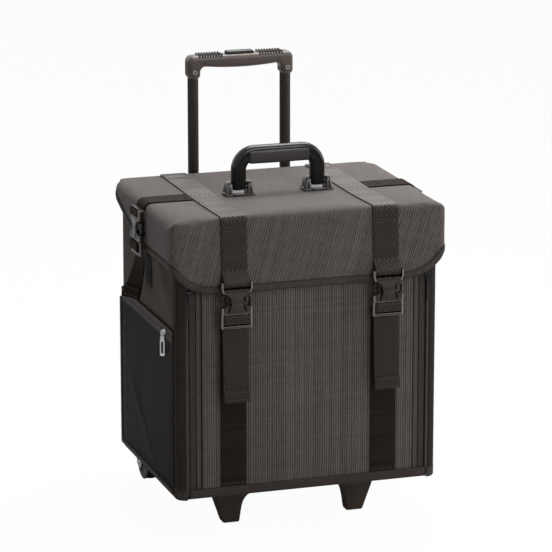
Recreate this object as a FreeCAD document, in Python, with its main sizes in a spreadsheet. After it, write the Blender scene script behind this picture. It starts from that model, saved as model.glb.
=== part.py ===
import FreeCAD, Part
import os
import re
import Sketcher
from FreeCAD import Placement, Rotation, Vector

# Soft-sided rolling makeup case, in millimetres, standing on the plane z = 0.
# The front faces -Y, the pull handle is at the back, and x = 0 is the middle.

SIZES = {
    # Case body: fabric over stiff board
    "case_width": 382,
    "case_depth": 302,
    "case_front": -157,
    "base_height": 65,
    "rim_height": 452,
    "wall": 5,
    "board": 6,
    "lining_skin": 1.2,
    "corner_round": 14,
    "lining_front": 15,
    "lining_drop": 2,
    # Fits: sewn, press and running gaps, and how far a cutter runs past a face
    "snug": 0.2,
    "press_gap": 0.02,
    "running": 0.06,
    "over": 1,
    # Front panel between the two upright zips
    "seam_half": 176,
    "seam_gap": 0.4,
    "stiff_panel_top": 325,
    "soft_panel_top": 450,
    "panel_lift": 1.5,
    # Lid with its skirts
    "lid_width": 404,
    "lid_overhang": 9,
    "lid_top": 465,
    "lid_board": 10,
    "skirt_wall": 6,
    "flap_wall": 6.5,
    "skirt_drop": 60,
    "flap_drop": 102,
    "lid_corner": 20,
    "lid_edge": 9,
    "flap_sweep": 97,
    "flap_straight": 120,
    "hinge_sweep": 45,
    "lid_cloth": 1,
    "lid_cloth_inset": 4.5,
    "hinge_tape": 1.2,
    "hinge_rise": 2.5,
    "hinge_lap": 1,
    # Webbing and buckles
    "strap_width": 38,
    "webbing": 1.6,
    "strap_spread": 111.5,
    "strap_rear_gap": 8,
    "strap_gap": 0.5,
    "strap_tuck": 16,
    "strap_stop": 2,
    "cross_strap_y": -16,
    "cross_strap_drop": 19,
    "buckle_half": 22.5,
    "buckle_thick": 11,
    "buckle_gap": 0.4,
    "socket_tall": 45,
    "socket_wall": 5,
    "socket_round": 2,
    "socket_room": 6.4,
    "horn_low": 15,
    "horn_notch": 11,
    "notch_deep": 3,
    "horn_inset": 1,
    "window_low": 10,
    "window_high": 24,
    "socket_slot_low": 8,
    "socket_slot_high": 3.5,
    "front_mouth": 334,
    "side_mouth": 411,
    "plug_tall": 21,
    "plug_thick": 8,
    "plug_shoulder": 6,
    "plug_taper": 2,
    "plug_round": 1.5,
    "ladder_bar": 4,
    "ladder_slot": 4.75,
    "ladder_slack": 0.8,
    "tongue_half": 6,
    "tongue_thick": 4,
    "tongue_tall": 26,
    "prong_root": 2,
    "prong_thick": 5,
    "prong_in": 11,
    "prong_out": 16,
    "prong_tall": 22,
    "prong_tip_out": 20.5,
    "prong_tip_low": 12,
    "tail_gap": 0.3,
    "tail_back": 18,
    "front_tail": 134,
    "side_tail": 87,
    "anchor_half": 15,
    "anchor_low": 305,
    "anchor_high": 385,
    # Zips and mesh pockets
    "tape": 0.8,
    "coil": 1.4,
    "tape_wide": 5.6,
    "coil_wide": 1.7,
    "zip_lift": 3,
    "zip_stop": 15,
    "pocket_thick": 4,
    "pocket_inset": 17,
    "pocket_round": 10,
    "pocket_tape": 1,
    "pocket_coil": 2.6,
    "pocket_coil_half": 2,
    "pocket_zip_z": 297,
    "pocket_zip_half": 6,
    "pocket_slider_y": -103,
    "front_slider_z": 361,
    # Zip slider and its pull, from the coil outwards
    "slider_gap": 0.3,
    "slider_half": 5,
    "slider_half_tall": 6,
    "slider_plate": 2,
    "slider_bar": 0.9,
    "slider_bar_out": 4.4,
    "slider_post_in": 2.9,
    "slider_post_out": 4.4,
    "slider_post_deep": 5.6,
    "slider_post_half": 1.5,
    "pull_eye": 2,
    "pull_stem_half": 2.5,
    "pull_stem_low": 12,
    "pull_neck": 10,
    "pull_sheet": 1.6,
    "pull_tab_half": 4.2,
    "pull_tab_high": 16,
    "pull_tab_low": 34,
    "pull_tab_round": 3.5,
    # Carry handle on the lid
    "handle_y": -18,
    "handle_leg_x": 59,
    "handle_leg": 21,
    "handle_depth": 16,
    "handle_top": 534,
    "handle_bar": 18,
    "handle_pivot": 12,
    "handle_pin": 3,
    "handle_round": 20,
    "handle_inner_round": 3,
    "grip_half": 45,
    "grip_drop": 7.5,
    "grip_ripple": 1.5,
    "grip_inset": 1,
    "bracket_half": 24,
    "bracket_plate": 3,
    "bracket_deep": 12,
    "lug_thick": 6,
    "lug_half": 8,
    "leg_gap": 0.5,
    "rivet": 2.8,
    "rivet_tall": 1.5,
    "rivet_inset": 4,
    # Telescopic pull handle behind the back panel
    "tube_x": 71,
    "tube_y": 165,
    "outer_tube": 10.5,
    "middle_tube": 9.25,
    "inner_tube": 8,
    "tube_wall": 1,
    "outer_low": 78,
    "outer_high": 444,
    "middle_low": 90,
    "middle_high": 446,
    "inner_low": 250,
    "inner_high": 610,
    "trolley_half": 90,
    "trolley_deep": 13,
    "trolley_round": 12,
    "waist_gap": 22,
    "waist_deep": 12,
    "mount_floor": 6,
    "mount_tall": 20,
    "pull_half": 86,
    "pull_top": 637,
    "pull_bar": 18,
    "pull_leg": 36,
    "pull_leg_inner": 57,
    "pull_deep": 26,
    "pull_corner": 13.5,
    "pull_round": 5,
    "channel_half": 5,
    "channel_roof": 8,
    "button_half": 21,
    "button_deep": 7,
    "button_proud": 2,
    "button_tall": 12,
    "button_round": 1.5,
    "button_slack": 0.3,
    "button_room": 5,
    "yoke_reach": 3,
    "yoke_half": 4,
    "yoke_tall": 9,
    "rod_radius": 2.5,
    "rod_low": 270,
    "lock_pin": 2,
    "lock_pin_z": 262,
    "lock_pin_slack": 0.15,
    "lock_pin_inset": 3,
    "lock_pin_short": 0.05,
    # Screws
    "screw_head": 4,
    "screw_head_tall": 1.4,
    "screw_shank": 1.8,
    "screw_long": 6,
    "grip_screw_drop": 5,
    "mount_screw_rise": 7,
    "mount_screw_drop": 10,
    "mount_screw_inset": 30,
    "flange_screw_rise": 20,
    # Wheels and feet
    "wheel_x": 147,
    "wheel_y": 149.4,
    "wheel_radius": 30,
    "wheel_rim": 24,
    "wheel_half": 12,
    "axle": 4,
    "cheek_gap": 1.2,
    "cheek": 3,
    "hub_wall": 5,
    "rim_wall": 4,
    "rim_inset": 1,
    "tread_drop": 3,
    "tread_slope": 4,
    "fork_front": 33,
    "fork_half": 16,
    "fork_shoulder": 10,
    "fork_nose": 11,
    "fork_chin": 9,
    "fork_tip": 13,
    "fork_plate": 3.5,
    "fork_plate_back": 14,
    "flange_tall": 30,
    "flange_thick": 4,
    "foot_x": 94,
    "foot_y": -81,
    "foot_top_half": 22,
    "foot_neck_half": 15.5,
    "foot_low_half": 12.5,
    "foot_flare": 13,
    "foot_deep": 30,
    "foot_lip": 3,
    "foot_round": 4,
}

BACK = "(case_front + case_depth)"
HALF = "(case_width / 2)"
LID_FRONT = "(case_front - lid_overhang)"
HANDLE_PIVOT_Z = "(lid_top + handle_pivot)"
SIDES = (("left", -1), ("right", 1))
GRIP_RIPPLES = 9

doc = FreeCAD.newDocument("rolling_makeup_case")
sheet = doc.addObject("Spreadsheet::Sheet", "Sizes")
for row, (alias, amount) in enumerate(SIZES.items(), 1):
    sheet.set("A%d" % row, alias.replace("_", " "))
    sheet.set("B%d" % row, str(amount))
    sheet.setAlias("B%d" % row, alias)
doc.recompute()

nodes = []


def on_sheet(expression):
    """Point every size name in an expression at its cell."""
    def cell(match):
        word = match.group()
        return "Sizes." + word if word in SIZES else word
    return re.sub(r"[a-z_]+", cell, str(expression))


def bind(thing, prop, expression):
    thing.setExpression(prop, on_sheet(expression))


def place(thing, x=0, y=0, z=0):
    for axis, expression in zip("xyz", (x, y, z)):
        bind(thing, ".Placement.Base." + axis, expression)


def turn(thing, axis, degrees):
    thing.Placement = Placement(thing.Placement.Base, Rotation(axis, degrees))


def node(thing, label):
    """Mark a finished sub-part: its label names its file."""
    thing.Label = label
    nodes.append(thing)
    return thing


def block(name, x, y, z):
    """A box between low and high expressions on each axis."""
    box = doc.addObject("Part::Box", name)
    for prop, (low, high) in zip(("Length", "Width", "Height"), (x, y, z)):
        bind(box, prop, "(%s) - (%s)" % (high, low))
    place(box, x[0], y[0], z[0])
    return box


def rod(name, axis, centre, radius, span):
    """A cylinder along an axis; centre holds the other two coordinates in x, y, z order."""
    bar = doc.addObject("Part::Cylinder", name)
    bind(bar, "Radius", radius)
    bind(bar, "Height", "(%s) - (%s)" % (span[1], span[0]))
    first, second = centre
    if axis == "x":
        turn(bar, Vector(0, 1, 0), 90)
        place(bar, span[0], first, second)
    elif axis == "y":
        turn(bar, Vector(1, 0, 0), -90)
        place(bar, first, span[0], second)
    else:
        place(bar, first, second, span[0])
    return bar


def join(name, pieces):
    whole = doc.addObject("Part::MultiFuse", name)
    whole.Shapes = pieces
    return whole


def cut(name, base, tools):
    """Take the tools away from the base."""
    rest = doc.addObject("Part::Cut", name)
    rest.Base = base
    rest.Tool = tools[0] if len(tools) == 1 else join(name + "_tools", tools)
    return rest


def group(label, members):
    """Separate like solids that share one node."""
    bundle = doc.addObject("Part::Compound", label)
    bundle.Links = members
    return node(bundle, label)


def number(expression):
    """The present value of a size expression."""
    return float(sheet.evalExpression(str(expression)))


def sketch_on(body, plane, corners):
    """A closed outline on an origin plane, every corner bound to the sheet."""
    sketch = body.newObject("Sketcher::SketchObject", body.Name + "_outline")
    support = next(f for f in body.Origin.OriginFeatures if f.Role == plane + "_Plane")
    sketch.AttachmentSupport = [(support, "")]
    sketch.MapMode = "FlatFace"
    points = [Vector(number(u), number(v), 0) for u, v in corners]
    count = len(points)
    for first in range(count):
        sketch.addGeometry(Part.LineSegment(points[first], points[(first + 1) % count]), False)
    for first in range(count):
        sketch.addConstraint(Sketcher.Constraint("Coincident", first, 2, (first + 1) % count, 1))
    for first, corner in enumerate(corners):
        for kind, expression in zip(("DistanceX", "DistanceY"), corner):
            value = number(expression)
            held = sketch.addConstraint(Sketcher.Constraint(kind, -1, 1, first, 1, value))
            bind(sketch, "Constraints[%d]" % held, expression)
    return sketch


def prism(name, plane, corners, depth):
    """An outline padded to a depth: XY pads to +Z, YZ to +X and XZ to -Y."""
    body = doc.addObject("PartDesign::Body", name)
    pad = body.newObject("PartDesign::Pad", name + "_pad")
    pad.Profile = sketch_on(body, plane, corners)
    bind(pad, "Length", depth)
    body.Tip = pad
    doc.recompute()
    return body


def turned(name, profile):
    """An outline of (x, radius) corners turned about the X axis."""
    body = doc.addObject("PartDesign::Body", name)
    sketch = sketch_on(body, "XY", profile)
    spin = body.newObject("PartDesign::Revolution", name + "_turned")
    spin.Profile = sketch
    spin.ReferenceAxis = (sketch, ["H_Axis"])
    spin.Angle = 360
    body.Tip = spin
    doc.recompute()
    return body


def soften(body, radius, chosen):
    """Round the chosen edges of a body."""
    tip = body.Tip
    edges = ["Edge%d" % count for count, edge in enumerate(tip.Shape.Edges, 1) if chosen(edge)]
    fillet = body.newObject("PartDesign::Fillet", body.Name + "_round")
    fillet.Base = (tip, edges)
    bind(fillet, "Radius", radius)
    body.Tip = fillet
    doc.recompute()
    return body


def runs(edge, axis):
    """Whether a straight edge lies along an axis."""
    first, last = edge.Vertexes[0].Point, edge.Vertexes[-1].Point
    span = last - first
    return abs(abs(span.dot(axis)) - edge.Length) < 1e-6


def sloping(edge):
    return not any(runs(edge, axis) for axis in (ALONG_X, ALONG_Y, ALONG_Z))


def corner_edges(axis, spots):
    """Edges along an axis that pass through the spots, given as expressions across it."""
    wanted = [tuple(number(value) for value in spot) for spot in spots]
    across = [slot for slot in range(3) if abs(axis[slot]) < 0.5]

    def chosen(edge):
        if not runs(edge, axis):
            return False
        point = edge.Vertexes[0].Point
        return any(abs(point[across[0]] - u) < 1e-4 and abs(point[across[1]] - v) < 1e-4
                   for u, v in wanted)
    return chosen


def level_edges(axis, levels):
    """Edges that lie flat at the given distances along an axis."""
    wanted = [number(level) for level in levels]

    def chosen(edge):
        box = edge.BoundBox
        low = (box.XMin, box.YMin, box.ZMin)[axis]
        high = (box.XMax, box.YMax, box.ZMax)[axis]
        return high - low < 1e-4 and any(abs(low - level) < 1e-3 for level in wanted)
    return chosen


ALONG_X, ALONG_Y, ALONG_Z = Vector(1, 0, 0), Vector(0, 1, 0), Vector(0, 0, 1)


# Case body

def base_board():
    half = HALF + " - wall - snug"
    front = "case_front + wall + 3 * snug"
    back = BACK + " - wall - snug"
    spots = [("-(%s)" % half, front), (half, front), (half, back), ("-(%s)" % half, back)]
    plate = prism("base_plate", "XY", spots, "board")
    soften(plate, "corner_round - wall", corner_edges(ALONG_Z, spots))
    place(plate, z="base_height")
    node(plate, "base_board")


def side_panel(side, sign):
    """A side wall that wraps round both upright corners to the zip seams."""
    def across(expression):
        return "%d * (%s)" % (sign, expression)
    seam, skin, inner = across("seam_half"), across(HALF), across(HALF + " - wall")
    outer_spots = [(skin, "case_front"), (skin, BACK)]
    inner_spots = [(inner, BACK + " - wall"), (inner, "case_front + wall")]
    corners = [(seam, "case_front")] + outer_spots + [(seam, BACK), (seam, BACK + " - wall")]
    corners += inner_spots + [(seam, "case_front + wall")]
    panel = prism(side + "_panel", "XY", corners, "rim_height - base_height")
    soften(panel, "corner_round", corner_edges(ALONG_Z, outer_spots))
    soften(panel, "corner_round - wall", corner_edges(ALONG_Z, inner_spots))
    place(panel, z="base_height")
    node(panel, side + "_side_panel")


def back_panel():
    panel = block("back_plate", ("-seam_half", "seam_half"), (BACK + " - wall", BACK),
                  ("base_height", "rim_height"))
    node(panel, "back_panel")


def lining():
    """Thin inner bag on the base, the sides and the back, open at the front and top."""
    half = HALF + " - wall - snug"
    room_half = half + " - lining_skin"
    front = "case_front + lining_front"
    back = BACK + " - wall - snug"
    room_back = back + " - lining_skin"
    low = "base_height + board"
    rear = [(half, back), ("-(%s)" % half, back)]
    bag = prism("lining_bag", "XY", [("-(%s)" % half, front), (half, front)] + rear,
                "rim_height - base_height - board - lining_drop")
    soften(bag, "corner_round - wall", corner_edges(ALONG_Z, rear))
    place(bag, z=low)
    room = prism("lining_room", "XY", [
        ("-(%s)" % room_half, front + " - over"), (room_half, front + " - over"),
        (room_half, room_back), ("-(%s)" % room_half, room_back)], "rim_height")
    place(room, z=low + " + lining_skin")
    node(cut("lining_shell", bag, [room]), "lining")


def front_panel():
    """Drop-down front: the stiff board below and the soft top that the lid flap covers."""
    across = ("-(seam_half - seam_gap)", "seam_half - seam_gap")
    thick = ("case_front", "case_front + wall")
    stiff = block("stiff_plate", across, thick, ("base_height + panel_lift", "stiff_panel_top"))
    soft = block("soft_plate", across, thick, ("stiff_panel_top", "soft_panel_top"))
    node(stiff, "front_panel")
    node(soft, "front_panel_top")


# Wheels and feet

def wheel_bracket(side, sign):
    """A fork under the back corner with a flange up the back panel."""
    inside = "wheel_half + cheek_gap"
    cheek_outline = [
        ("wheel_y - fork_front", "base_height"), (BACK, "base_height"),
        (BACK, "base_height + flange_tall"), (BACK + " + flange_thick", "base_height + flange_tall"),
        ("wheel_y + fork_half", "wheel_radius + fork_shoulder"),
        ("wheel_y + fork_nose", "wheel_radius - fork_chin"), ("wheel_y", "wheel_radius - fork_tip"),
        ("wheel_y - fork_nose", "wheel_radius - fork_chin"),
        ("wheel_y - fork_half", "wheel_radius + fork_shoulder")]
    pieces = []
    for name, offset in (("near", inside), ("far", "-(%s) - cheek" % inside)):
        cheek = prism("%s_%s_cheek" % (side, name), "YZ", cheek_outline, "cheek")
        place(cheek, "%d * wheel_x + %s" % (sign, offset))
        pieces.append(cheek)
    span = tuple("%d * wheel_x %s (%s + cheek)" % (sign, way, inside) for way in "-+")
    pieces.append(block(side + "_fork_plate", span, ("wheel_y - fork_front", "wheel_y - fork_plate_back"),
                        ("base_height - fork_plate", "base_height")))
    pieces.append(block(side + "_fork_flange", span, (BACK, BACK + " + flange_thick"),
                        ("base_height - over", "base_height + flange_tall")))
    bore = rod(side + "_fork_bore", "x", ("wheel_y", "wheel_radius"), "axle", span)
    return cut(side + "_fork", join(side + "_fork_blank", pieces), [bore])


def wheels():
    forks, pins = [], []
    for side, sign in SIDES:
        forks.append(wheel_bracket(side, sign))
        reach = "wheel_half + cheek_gap + cheek"
        span = tuple("%d * wheel_x %s (%s)" % (sign, way, reach) for way in "-+")
        pins.append(rod(side + "_axle", "x", ("wheel_y", "wheel_radius"), "axle", span))
        bore, boss, dish = "axle + running", "axle + hub_wall", "wheel_rim - rim_wall"
        seat, shoulder = "wheel_rim + press_gap", "wheel_radius - tread_drop"
        hub = turned(side + "_hub", [
            ("-wheel_half", bore), ("-wheel_half", boss), ("-wheel_half / 2", boss),
            ("-wheel_half / 2", dish), ("rim_inset - wheel_half", dish),
            ("rim_inset - wheel_half", "wheel_rim"), ("wheel_half - rim_inset", "wheel_rim"),
            ("wheel_half - rim_inset", dish), ("wheel_half / 2", dish),
            ("wheel_half / 2", boss), ("wheel_half", boss), ("wheel_half", bore)])
        tread = turned(side + "_tread", [
            ("-wheel_half", seat), ("-wheel_half", shoulder), ("tread_slope - wheel_half", "wheel_radius"),
            ("wheel_half - tread_slope", "wheel_radius"), ("wheel_half", shoulder), ("wheel_half", seat)])
        for body, label in ((hub, side + "_wheel"), (tread, side + "_tyre")):
            place(body, "%d * wheel_x" % sign, "wheel_y", "wheel_radius")
            node(body, label)
    group("wheel_brackets", forks)
    group("wheel_axles", pins)


def front_feet():
    """Two tapered posts with a flared collar under the front of the base."""
    feet = []
    collar = "base_height - foot_flare"
    for side, sign in SIDES:
        post = prism(side + "_foot", "XZ", [
            ("-foot_top_half", "base_height"), ("-foot_top_half", "base_height - foot_lip"),
            ("-foot_neck_half", collar), ("-foot_low_half", "0"), ("foot_low_half", "0"),
            ("foot_neck_half", collar), ("foot_top_half", "base_height - foot_lip"),
            ("foot_top_half", "base_height")], "foot_deep")
        soften(post, "foot_round", sloping)
        place(post, "%d * foot_x" % sign, "foot_y + foot_deep / 2")
        feet.append(post)
    group("front_feet", feet)


# Telescopic pull handle

def trolley_mount(name, low, high, bores):
    """A moulded bar across the back that holds both outer tubes."""
    rear = [("trolley_half", "tube_y + trolley_deep"), ("-trolley_half", "tube_y + trolley_deep")]
    bar = prism(name + "_bar", "XY", [("-trolley_half", BACK), ("trolley_half", BACK)] + rear,
                "(%s) - (%s)" % (high, low))
    soften(bar, "trolley_round", corner_edges(ALONG_Z, rear))
    place(bar, z=low)
    waist = block(name + "_waist", ("-tube_x + waist_gap", "tube_x - waist_gap"),
                  (BACK + " + waist_deep", "tube_y + trolley_deep + over"),
                  ("(%s) - over" % low, "(%s) + over" % high))
    holes = [rod("%s_%s_bore" % (name, side), "z", ("%d * tube_x" % sign, "tube_y"),
                 "outer_tube + running", bores) for side, sign in SIDES]
    return cut(name + "_moulding", bar, holes + [waist])


def tube_pair(label, radius, low, high, pierced=()):
    pair = []
    for side, sign in SIDES:
        centre = ("%d * tube_x" % sign, "tube_y")
        outside = rod("%s_%s" % (side, label), "z", centre, radius, (low, high))
        bore = rod("%s_%s_bore" % (side, label), "z", centre, radius + " - tube_wall",
                   ("(%s) - over" % low, "(%s) + over" % high))
        span = tuple("%d * (tube_x + inner_tube / 2) %s inner_tube" % (sign, way) for way in "-+")
        holes = [rod("%s_%s_hole" % (side, label), "x", ("tube_y", height), reach, span)
                 for height, reach in pierced]
        pair.append(cut("%s_%s_wall" % (side, label), outside, [bore] + holes))
    group(label, pair)


def pull_handle():
    foot_high, head_low = "outer_low + mount_tall", "outer_high - mount_tall"
    node(trolley_mount("trolley_foot", "outer_low - mount_floor", foot_high,
                       ("outer_low", foot_high + " + over")), "trolley_base")
    node(trolley_mount("trolley_head", head_low, "outer_high",
                       (head_low + " - over", "outer_high + over")), "trolley_top_bracket")
    tube_pair("outer_tubes", "outer_tube", "outer_low", "outer_high")
    tube_pair("middle_tubes", "middle_tube", "middle_low", "middle_high")
    tube_pair("inner_tubes", "inner_tube", "inner_low", "inner_high",
              pierced=(("lock_pin_z", "lock_pin + lock_pin_slack"),))
    pull_grip()
    release_button()
    for side, sign in SIDES:
        inner_end = "%d * (tube_x - lock_pin_inset)" % sign
        tip = "%d * (tube_x + inner_tube - lock_pin_short)" % sign
        span = (tip, inner_end) if sign < 0 else (inner_end, tip)
        plunger = rod(side + "_lock_plunger", "x", ("tube_y", "lock_pin_z"), "lock_pin", span)
        node(plunger, side + "_lock_pin")


def pull_grip():
    """A bar with two sockets for the inner tubes and a channel for the release yoke."""
    under, low = "pull_top - pull_bar", "pull_top - pull_leg"
    tops = [("-pull_half", "pull_top"), ("pull_half", "pull_top")]
    inners = [("pull_leg_inner", under), ("-pull_leg_inner", under)]
    bar = prism("grip_bar", "XZ", [("-pull_half", low)] + tops + [("pull_half", low), ("pull_leg_inner", low)]
                + inners + [("-pull_leg_inner", low)], "pull_deep")
    soften(bar, "pull_corner", corner_edges(ALONG_Y, tops))
    soften(bar, "pull_round", corner_edges(ALONG_Y, inners))
    soften(bar, "pull_round", level_edges(1, ["0", "-pull_deep"]))
    place(bar, y="tube_y + pull_deep / 2")
    button_low = "pull_top + button_proud - button_tall"
    hollows = [block("grip_channel", ("-tube_x - channel_half", "tube_x + channel_half"),
                     ("tube_y - channel_half", "tube_y + channel_half"),
                     ("inner_high + over", "pull_top - channel_roof")),
               block("button_pocket", ("-button_half - button_slack", "button_half + button_slack"),
                     ("tube_y - button_deep - button_slack", "tube_y + button_deep + button_slack"),
                     (button_low + " - button_room", "pull_top + over"))]
    hollows += [rod(side + "_grip_socket", "z", ("%d * tube_x" % sign, "tube_y"), "inner_tube + running",
                    (low + " - over", "inner_high + over")) for side, sign in SIDES]
    node(cut("grip_moulding", bar, hollows), "pull_grip")
    screws = []
    for side, sign in SIDES:
        spot = ("%d * tube_x" % sign, "inner_high - grip_screw_drop")
        screws.append(screw(side + "_grip_screw", spot, "tube_y - pull_deep / 2", 1))
    group("grip_screws", screws)


def release_button():
    """A thumb button on a yoke that carries a push rod down each inner tube."""
    low, high = "pull_top + button_proud - button_tall", "pull_top + button_proud"
    key = prism("button_key", "XZ", [("-button_half", low), ("button_half", low), ("button_half", high),
                                     ("-button_half", high)], "2 * button_deep")
    soften(key, "button_round", level_edges(2, [high]))
    place(key, y="tube_y + button_deep")
    node(key, "release_button")
    yoke = block("rod_yoke", ("-tube_x - yoke_reach", "tube_x + yoke_reach"),
                 ("tube_y - yoke_half", "tube_y + yoke_half"), (low + " - yoke_tall", low))
    rods = [rod(side + "_push_rod", "z", ("%d * tube_x" % sign, "tube_y"), "rod_radius",
                ("rod_low", low + " - yoke_tall / 2")) for side, sign in SIDES]
    node(join("rod_frame", [yoke] + rods), "push_rods")


def screw(name, centre, face, way):
    """A pan head on a face across Y and a shank behind it; way is the shank's direction."""
    head = (face + " - %d * screw_head_tall" % way, face)
    shank = (face, face + " + %d * screw_long" % way)
    if way < 0:
        head, shank = head[::-1], shank[::-1]
    return join(name, [rod(name + "_head", "y", centre, "screw_head", head),
                       rod(name + "_shank", "y", centre, "screw_shank", shank)])


def case_screws():
    """Like screws that hold the trolley mouldings and the wheel brackets to the back."""
    screws = []
    for side, sign in SIDES:
        for height in ("outer_low + mount_screw_rise", "outer_high - mount_screw_drop"):
            spot = ("%d * (tube_x - mount_screw_inset)" % sign, height)
            screws.append(screw("screw_%d" % len(screws), spot, BACK + " + waist_deep", -1))
        spot = ("%d * wheel_x" % sign, "base_height + flange_screw_rise")
        screws.append(screw("screw_%d" % len(screws), spot, BACK + " + flange_thick", -1))
    group("case_screws", screws)


# Lid

def lid_shell():
    """A padded top with side skirts, a deep front flap and no back skirt."""
    half, low = "lid_width / 2", "lid_top - flap_drop"
    spots = [("-(%s)" % half, LID_FRONT), (half, LID_FRONT), (half, BACK), ("-(%s)" % half, BACK)]
    blank = prism("lid_blank", "XY", spots, "flap_drop")
    soften(blank, "lid_corner", corner_edges(ALONG_Z, spots))
    soften(blank, "lid_edge", level_edges(2, ["flap_drop"]))
    place(blank, z=low)
    room_half = half + " - skirt_wall"
    fronts = [("-(%s)" % room_half, LID_FRONT + " + flap_wall"), (room_half, LID_FRONT + " + flap_wall")]
    rear = BACK + " + over"
    room = prism("lid_room", "XY", fronts + [(room_half, rear), ("-(%s)" % room_half, rear)],
                 "flap_drop - lid_board + over")
    soften(room, "lid_corner - skirt_wall", corner_edges(ALONG_Z, fronts))
    place(room, z=low + " - over")
    away, skirt_low = [room], "lid_top - skirt_drop"
    for side, sign in SIDES:
        outer = "%d * (%s + over)" % (sign, half)
        inner = "%d * (%s - skirt_wall - over)" % (sign, half)
        wide = (outer, inner) if sign < 0 else (inner, outer)
        away.append(block(side + "_under_skirt", wide, (LID_FRONT + " + lid_corner", rear),
                          (low + " - over", skirt_low)))
        corner = block(side + "_rear_corner", wide, (BACK + " - hinge_sweep", rear),
                       (skirt_low + " - over", skirt_low + " + hinge_sweep"))
        reach = tuple("%d * %s %s 2 * skirt_wall" % (sign, half, way) for way in "-+")
        sweep = rod(side + "_rear_sweep", "x", (BACK + " - hinge_sweep", skirt_low + " + hinge_sweep"),
                    "hinge_sweep", reach)
        away.append(cut(side + "_rear_cut", corner, [sweep]))
        straight = "%d * flap_straight" % sign
        wide = (outer, straight) if sign < 0 else (straight, outer)
        corner = block(side + "_flap_corner", wide, (LID_FRONT + " - over", LID_FRONT + " + lid_corner"),
                       (low + " - over", skirt_low))
        sweep = rod(side + "_flap_sweep", "y", (straight, low + " + flap_sweep"), "flap_sweep",
                    (LID_FRONT + " - 2 * over", LID_FRONT + " + lid_corner + over"))
        away.append(cut(side + "_flap_cut", corner, [sweep]))
    node(cut("lid_padding", blank, away), "lid_shell")


def lid_lining():
    half = "lid_width / 2 - skirt_wall - lid_cloth_inset"
    cloth = block("lid_cloth_sheet", ("-(%s)" % half, half),
                  (LID_FRONT + " + flap_wall + lid_cloth_inset", BACK + " - lid_cloth_inset"),
                  ("lid_top - lid_board - lid_cloth", "lid_top - lid_board"))
    node(cloth, "lid_lining")


def lid_straps():
    """Webbing over the lid: two lengthways to the front buckles, one to each side buckle."""
    top, rear = "lid_top + webbing", BACK + " - strap_rear_gap"
    skin, face = LID_FRONT, LID_FRONT + " - webbing"
    end = "front_mouth + socket_tall - strap_tuck"
    straps = []
    for side, sign in SIDES:
        strap = prism(side + "_lid_strap", "YZ", [(rear, "lid_top"), (rear, top), (face, top), (face, end),
                                                  (skin, end), (skin, "lid_top")], "strap_width")
        soften(strap, "lid_edge + webbing", corner_edges(ALONG_X, [(face, top)]))
        soften(strap, "lid_edge", corner_edges(ALONG_X, [(skin, "lid_top")]))
        place(strap, "%d * strap_spread - strap_width / 2" % sign)
        straps.append(strap)
    group("lid_straps", straps)
    crosses = []
    inner_end = "strap_spread + strap_width / 2 + strap_gap"
    for side, sign in SIDES:
        def across(expression):
            return "%d * (%s)" % (sign, expression)
        skin, face = across("lid_width / 2"), across("lid_width / 2 + webbing")
        end = "lid_top - cross_strap_drop"
        cross = prism(side + "_cross_strap", "XZ", [(across(inner_end), "lid_top"), (across(inner_end), top),
                                                    (face, top), (face, end), (skin, end), (skin, "lid_top")],
                      "strap_width")
        soften(cross, "lid_edge + webbing", corner_edges(ALONG_Y, [(face, top)]))
        soften(cross, "lid_edge", corner_edges(ALONG_Y, [(skin, "lid_top")]))
        place(cross, y="cross_strap_y + strap_width / 2")
        crosses.append(cross)
    group("cross_straps", crosses)


# Side-release buckles, drawn about the socket's mouth with the back at y = 0

def socket(name):
    """Hollow half: open at the mouth, a window at each side and a slot for the strap."""
    shoulder, notch = "socket_tall - horn_low", "socket_tall - horn_notch"
    right = [("buckle_half - horn_inset", "socket_tall"), ("buckle_half - notch_deep", notch),
             ("buckle_half", shoulder), ("buckle_half", "0")]
    left = [("-(%s)" % across, height) for across, height in right[::-1]]
    shell = prism(name + "_blank", "XZ", left + right, "buckle_thick")
    soften(shell, "socket_round", level_edges(1, ["-buckle_thick"]))
    thick = tuple("(%s socket_room - buckle_thick) / 2" % way for way in "-+")
    room = block(name + "_room", ("-buckle_half + socket_wall", "buckle_half - socket_wall"), thick,
                 ("-over", shoulder))
    window = block(name + "_window", ("-buckle_half - over", "buckle_half + over"), thick,
                   ("window_low", "window_high"))
    slot = block(name + "_slot", ("-strap_width / 2 - strap_gap", "strap_width / 2 + strap_gap"),
                 ("-buckle_thick - over", "over"),
                 ("socket_tall - socket_slot_low", "socket_tall - socket_slot_high"))
    return cut(name, shell, [room, window, slot])


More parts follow.
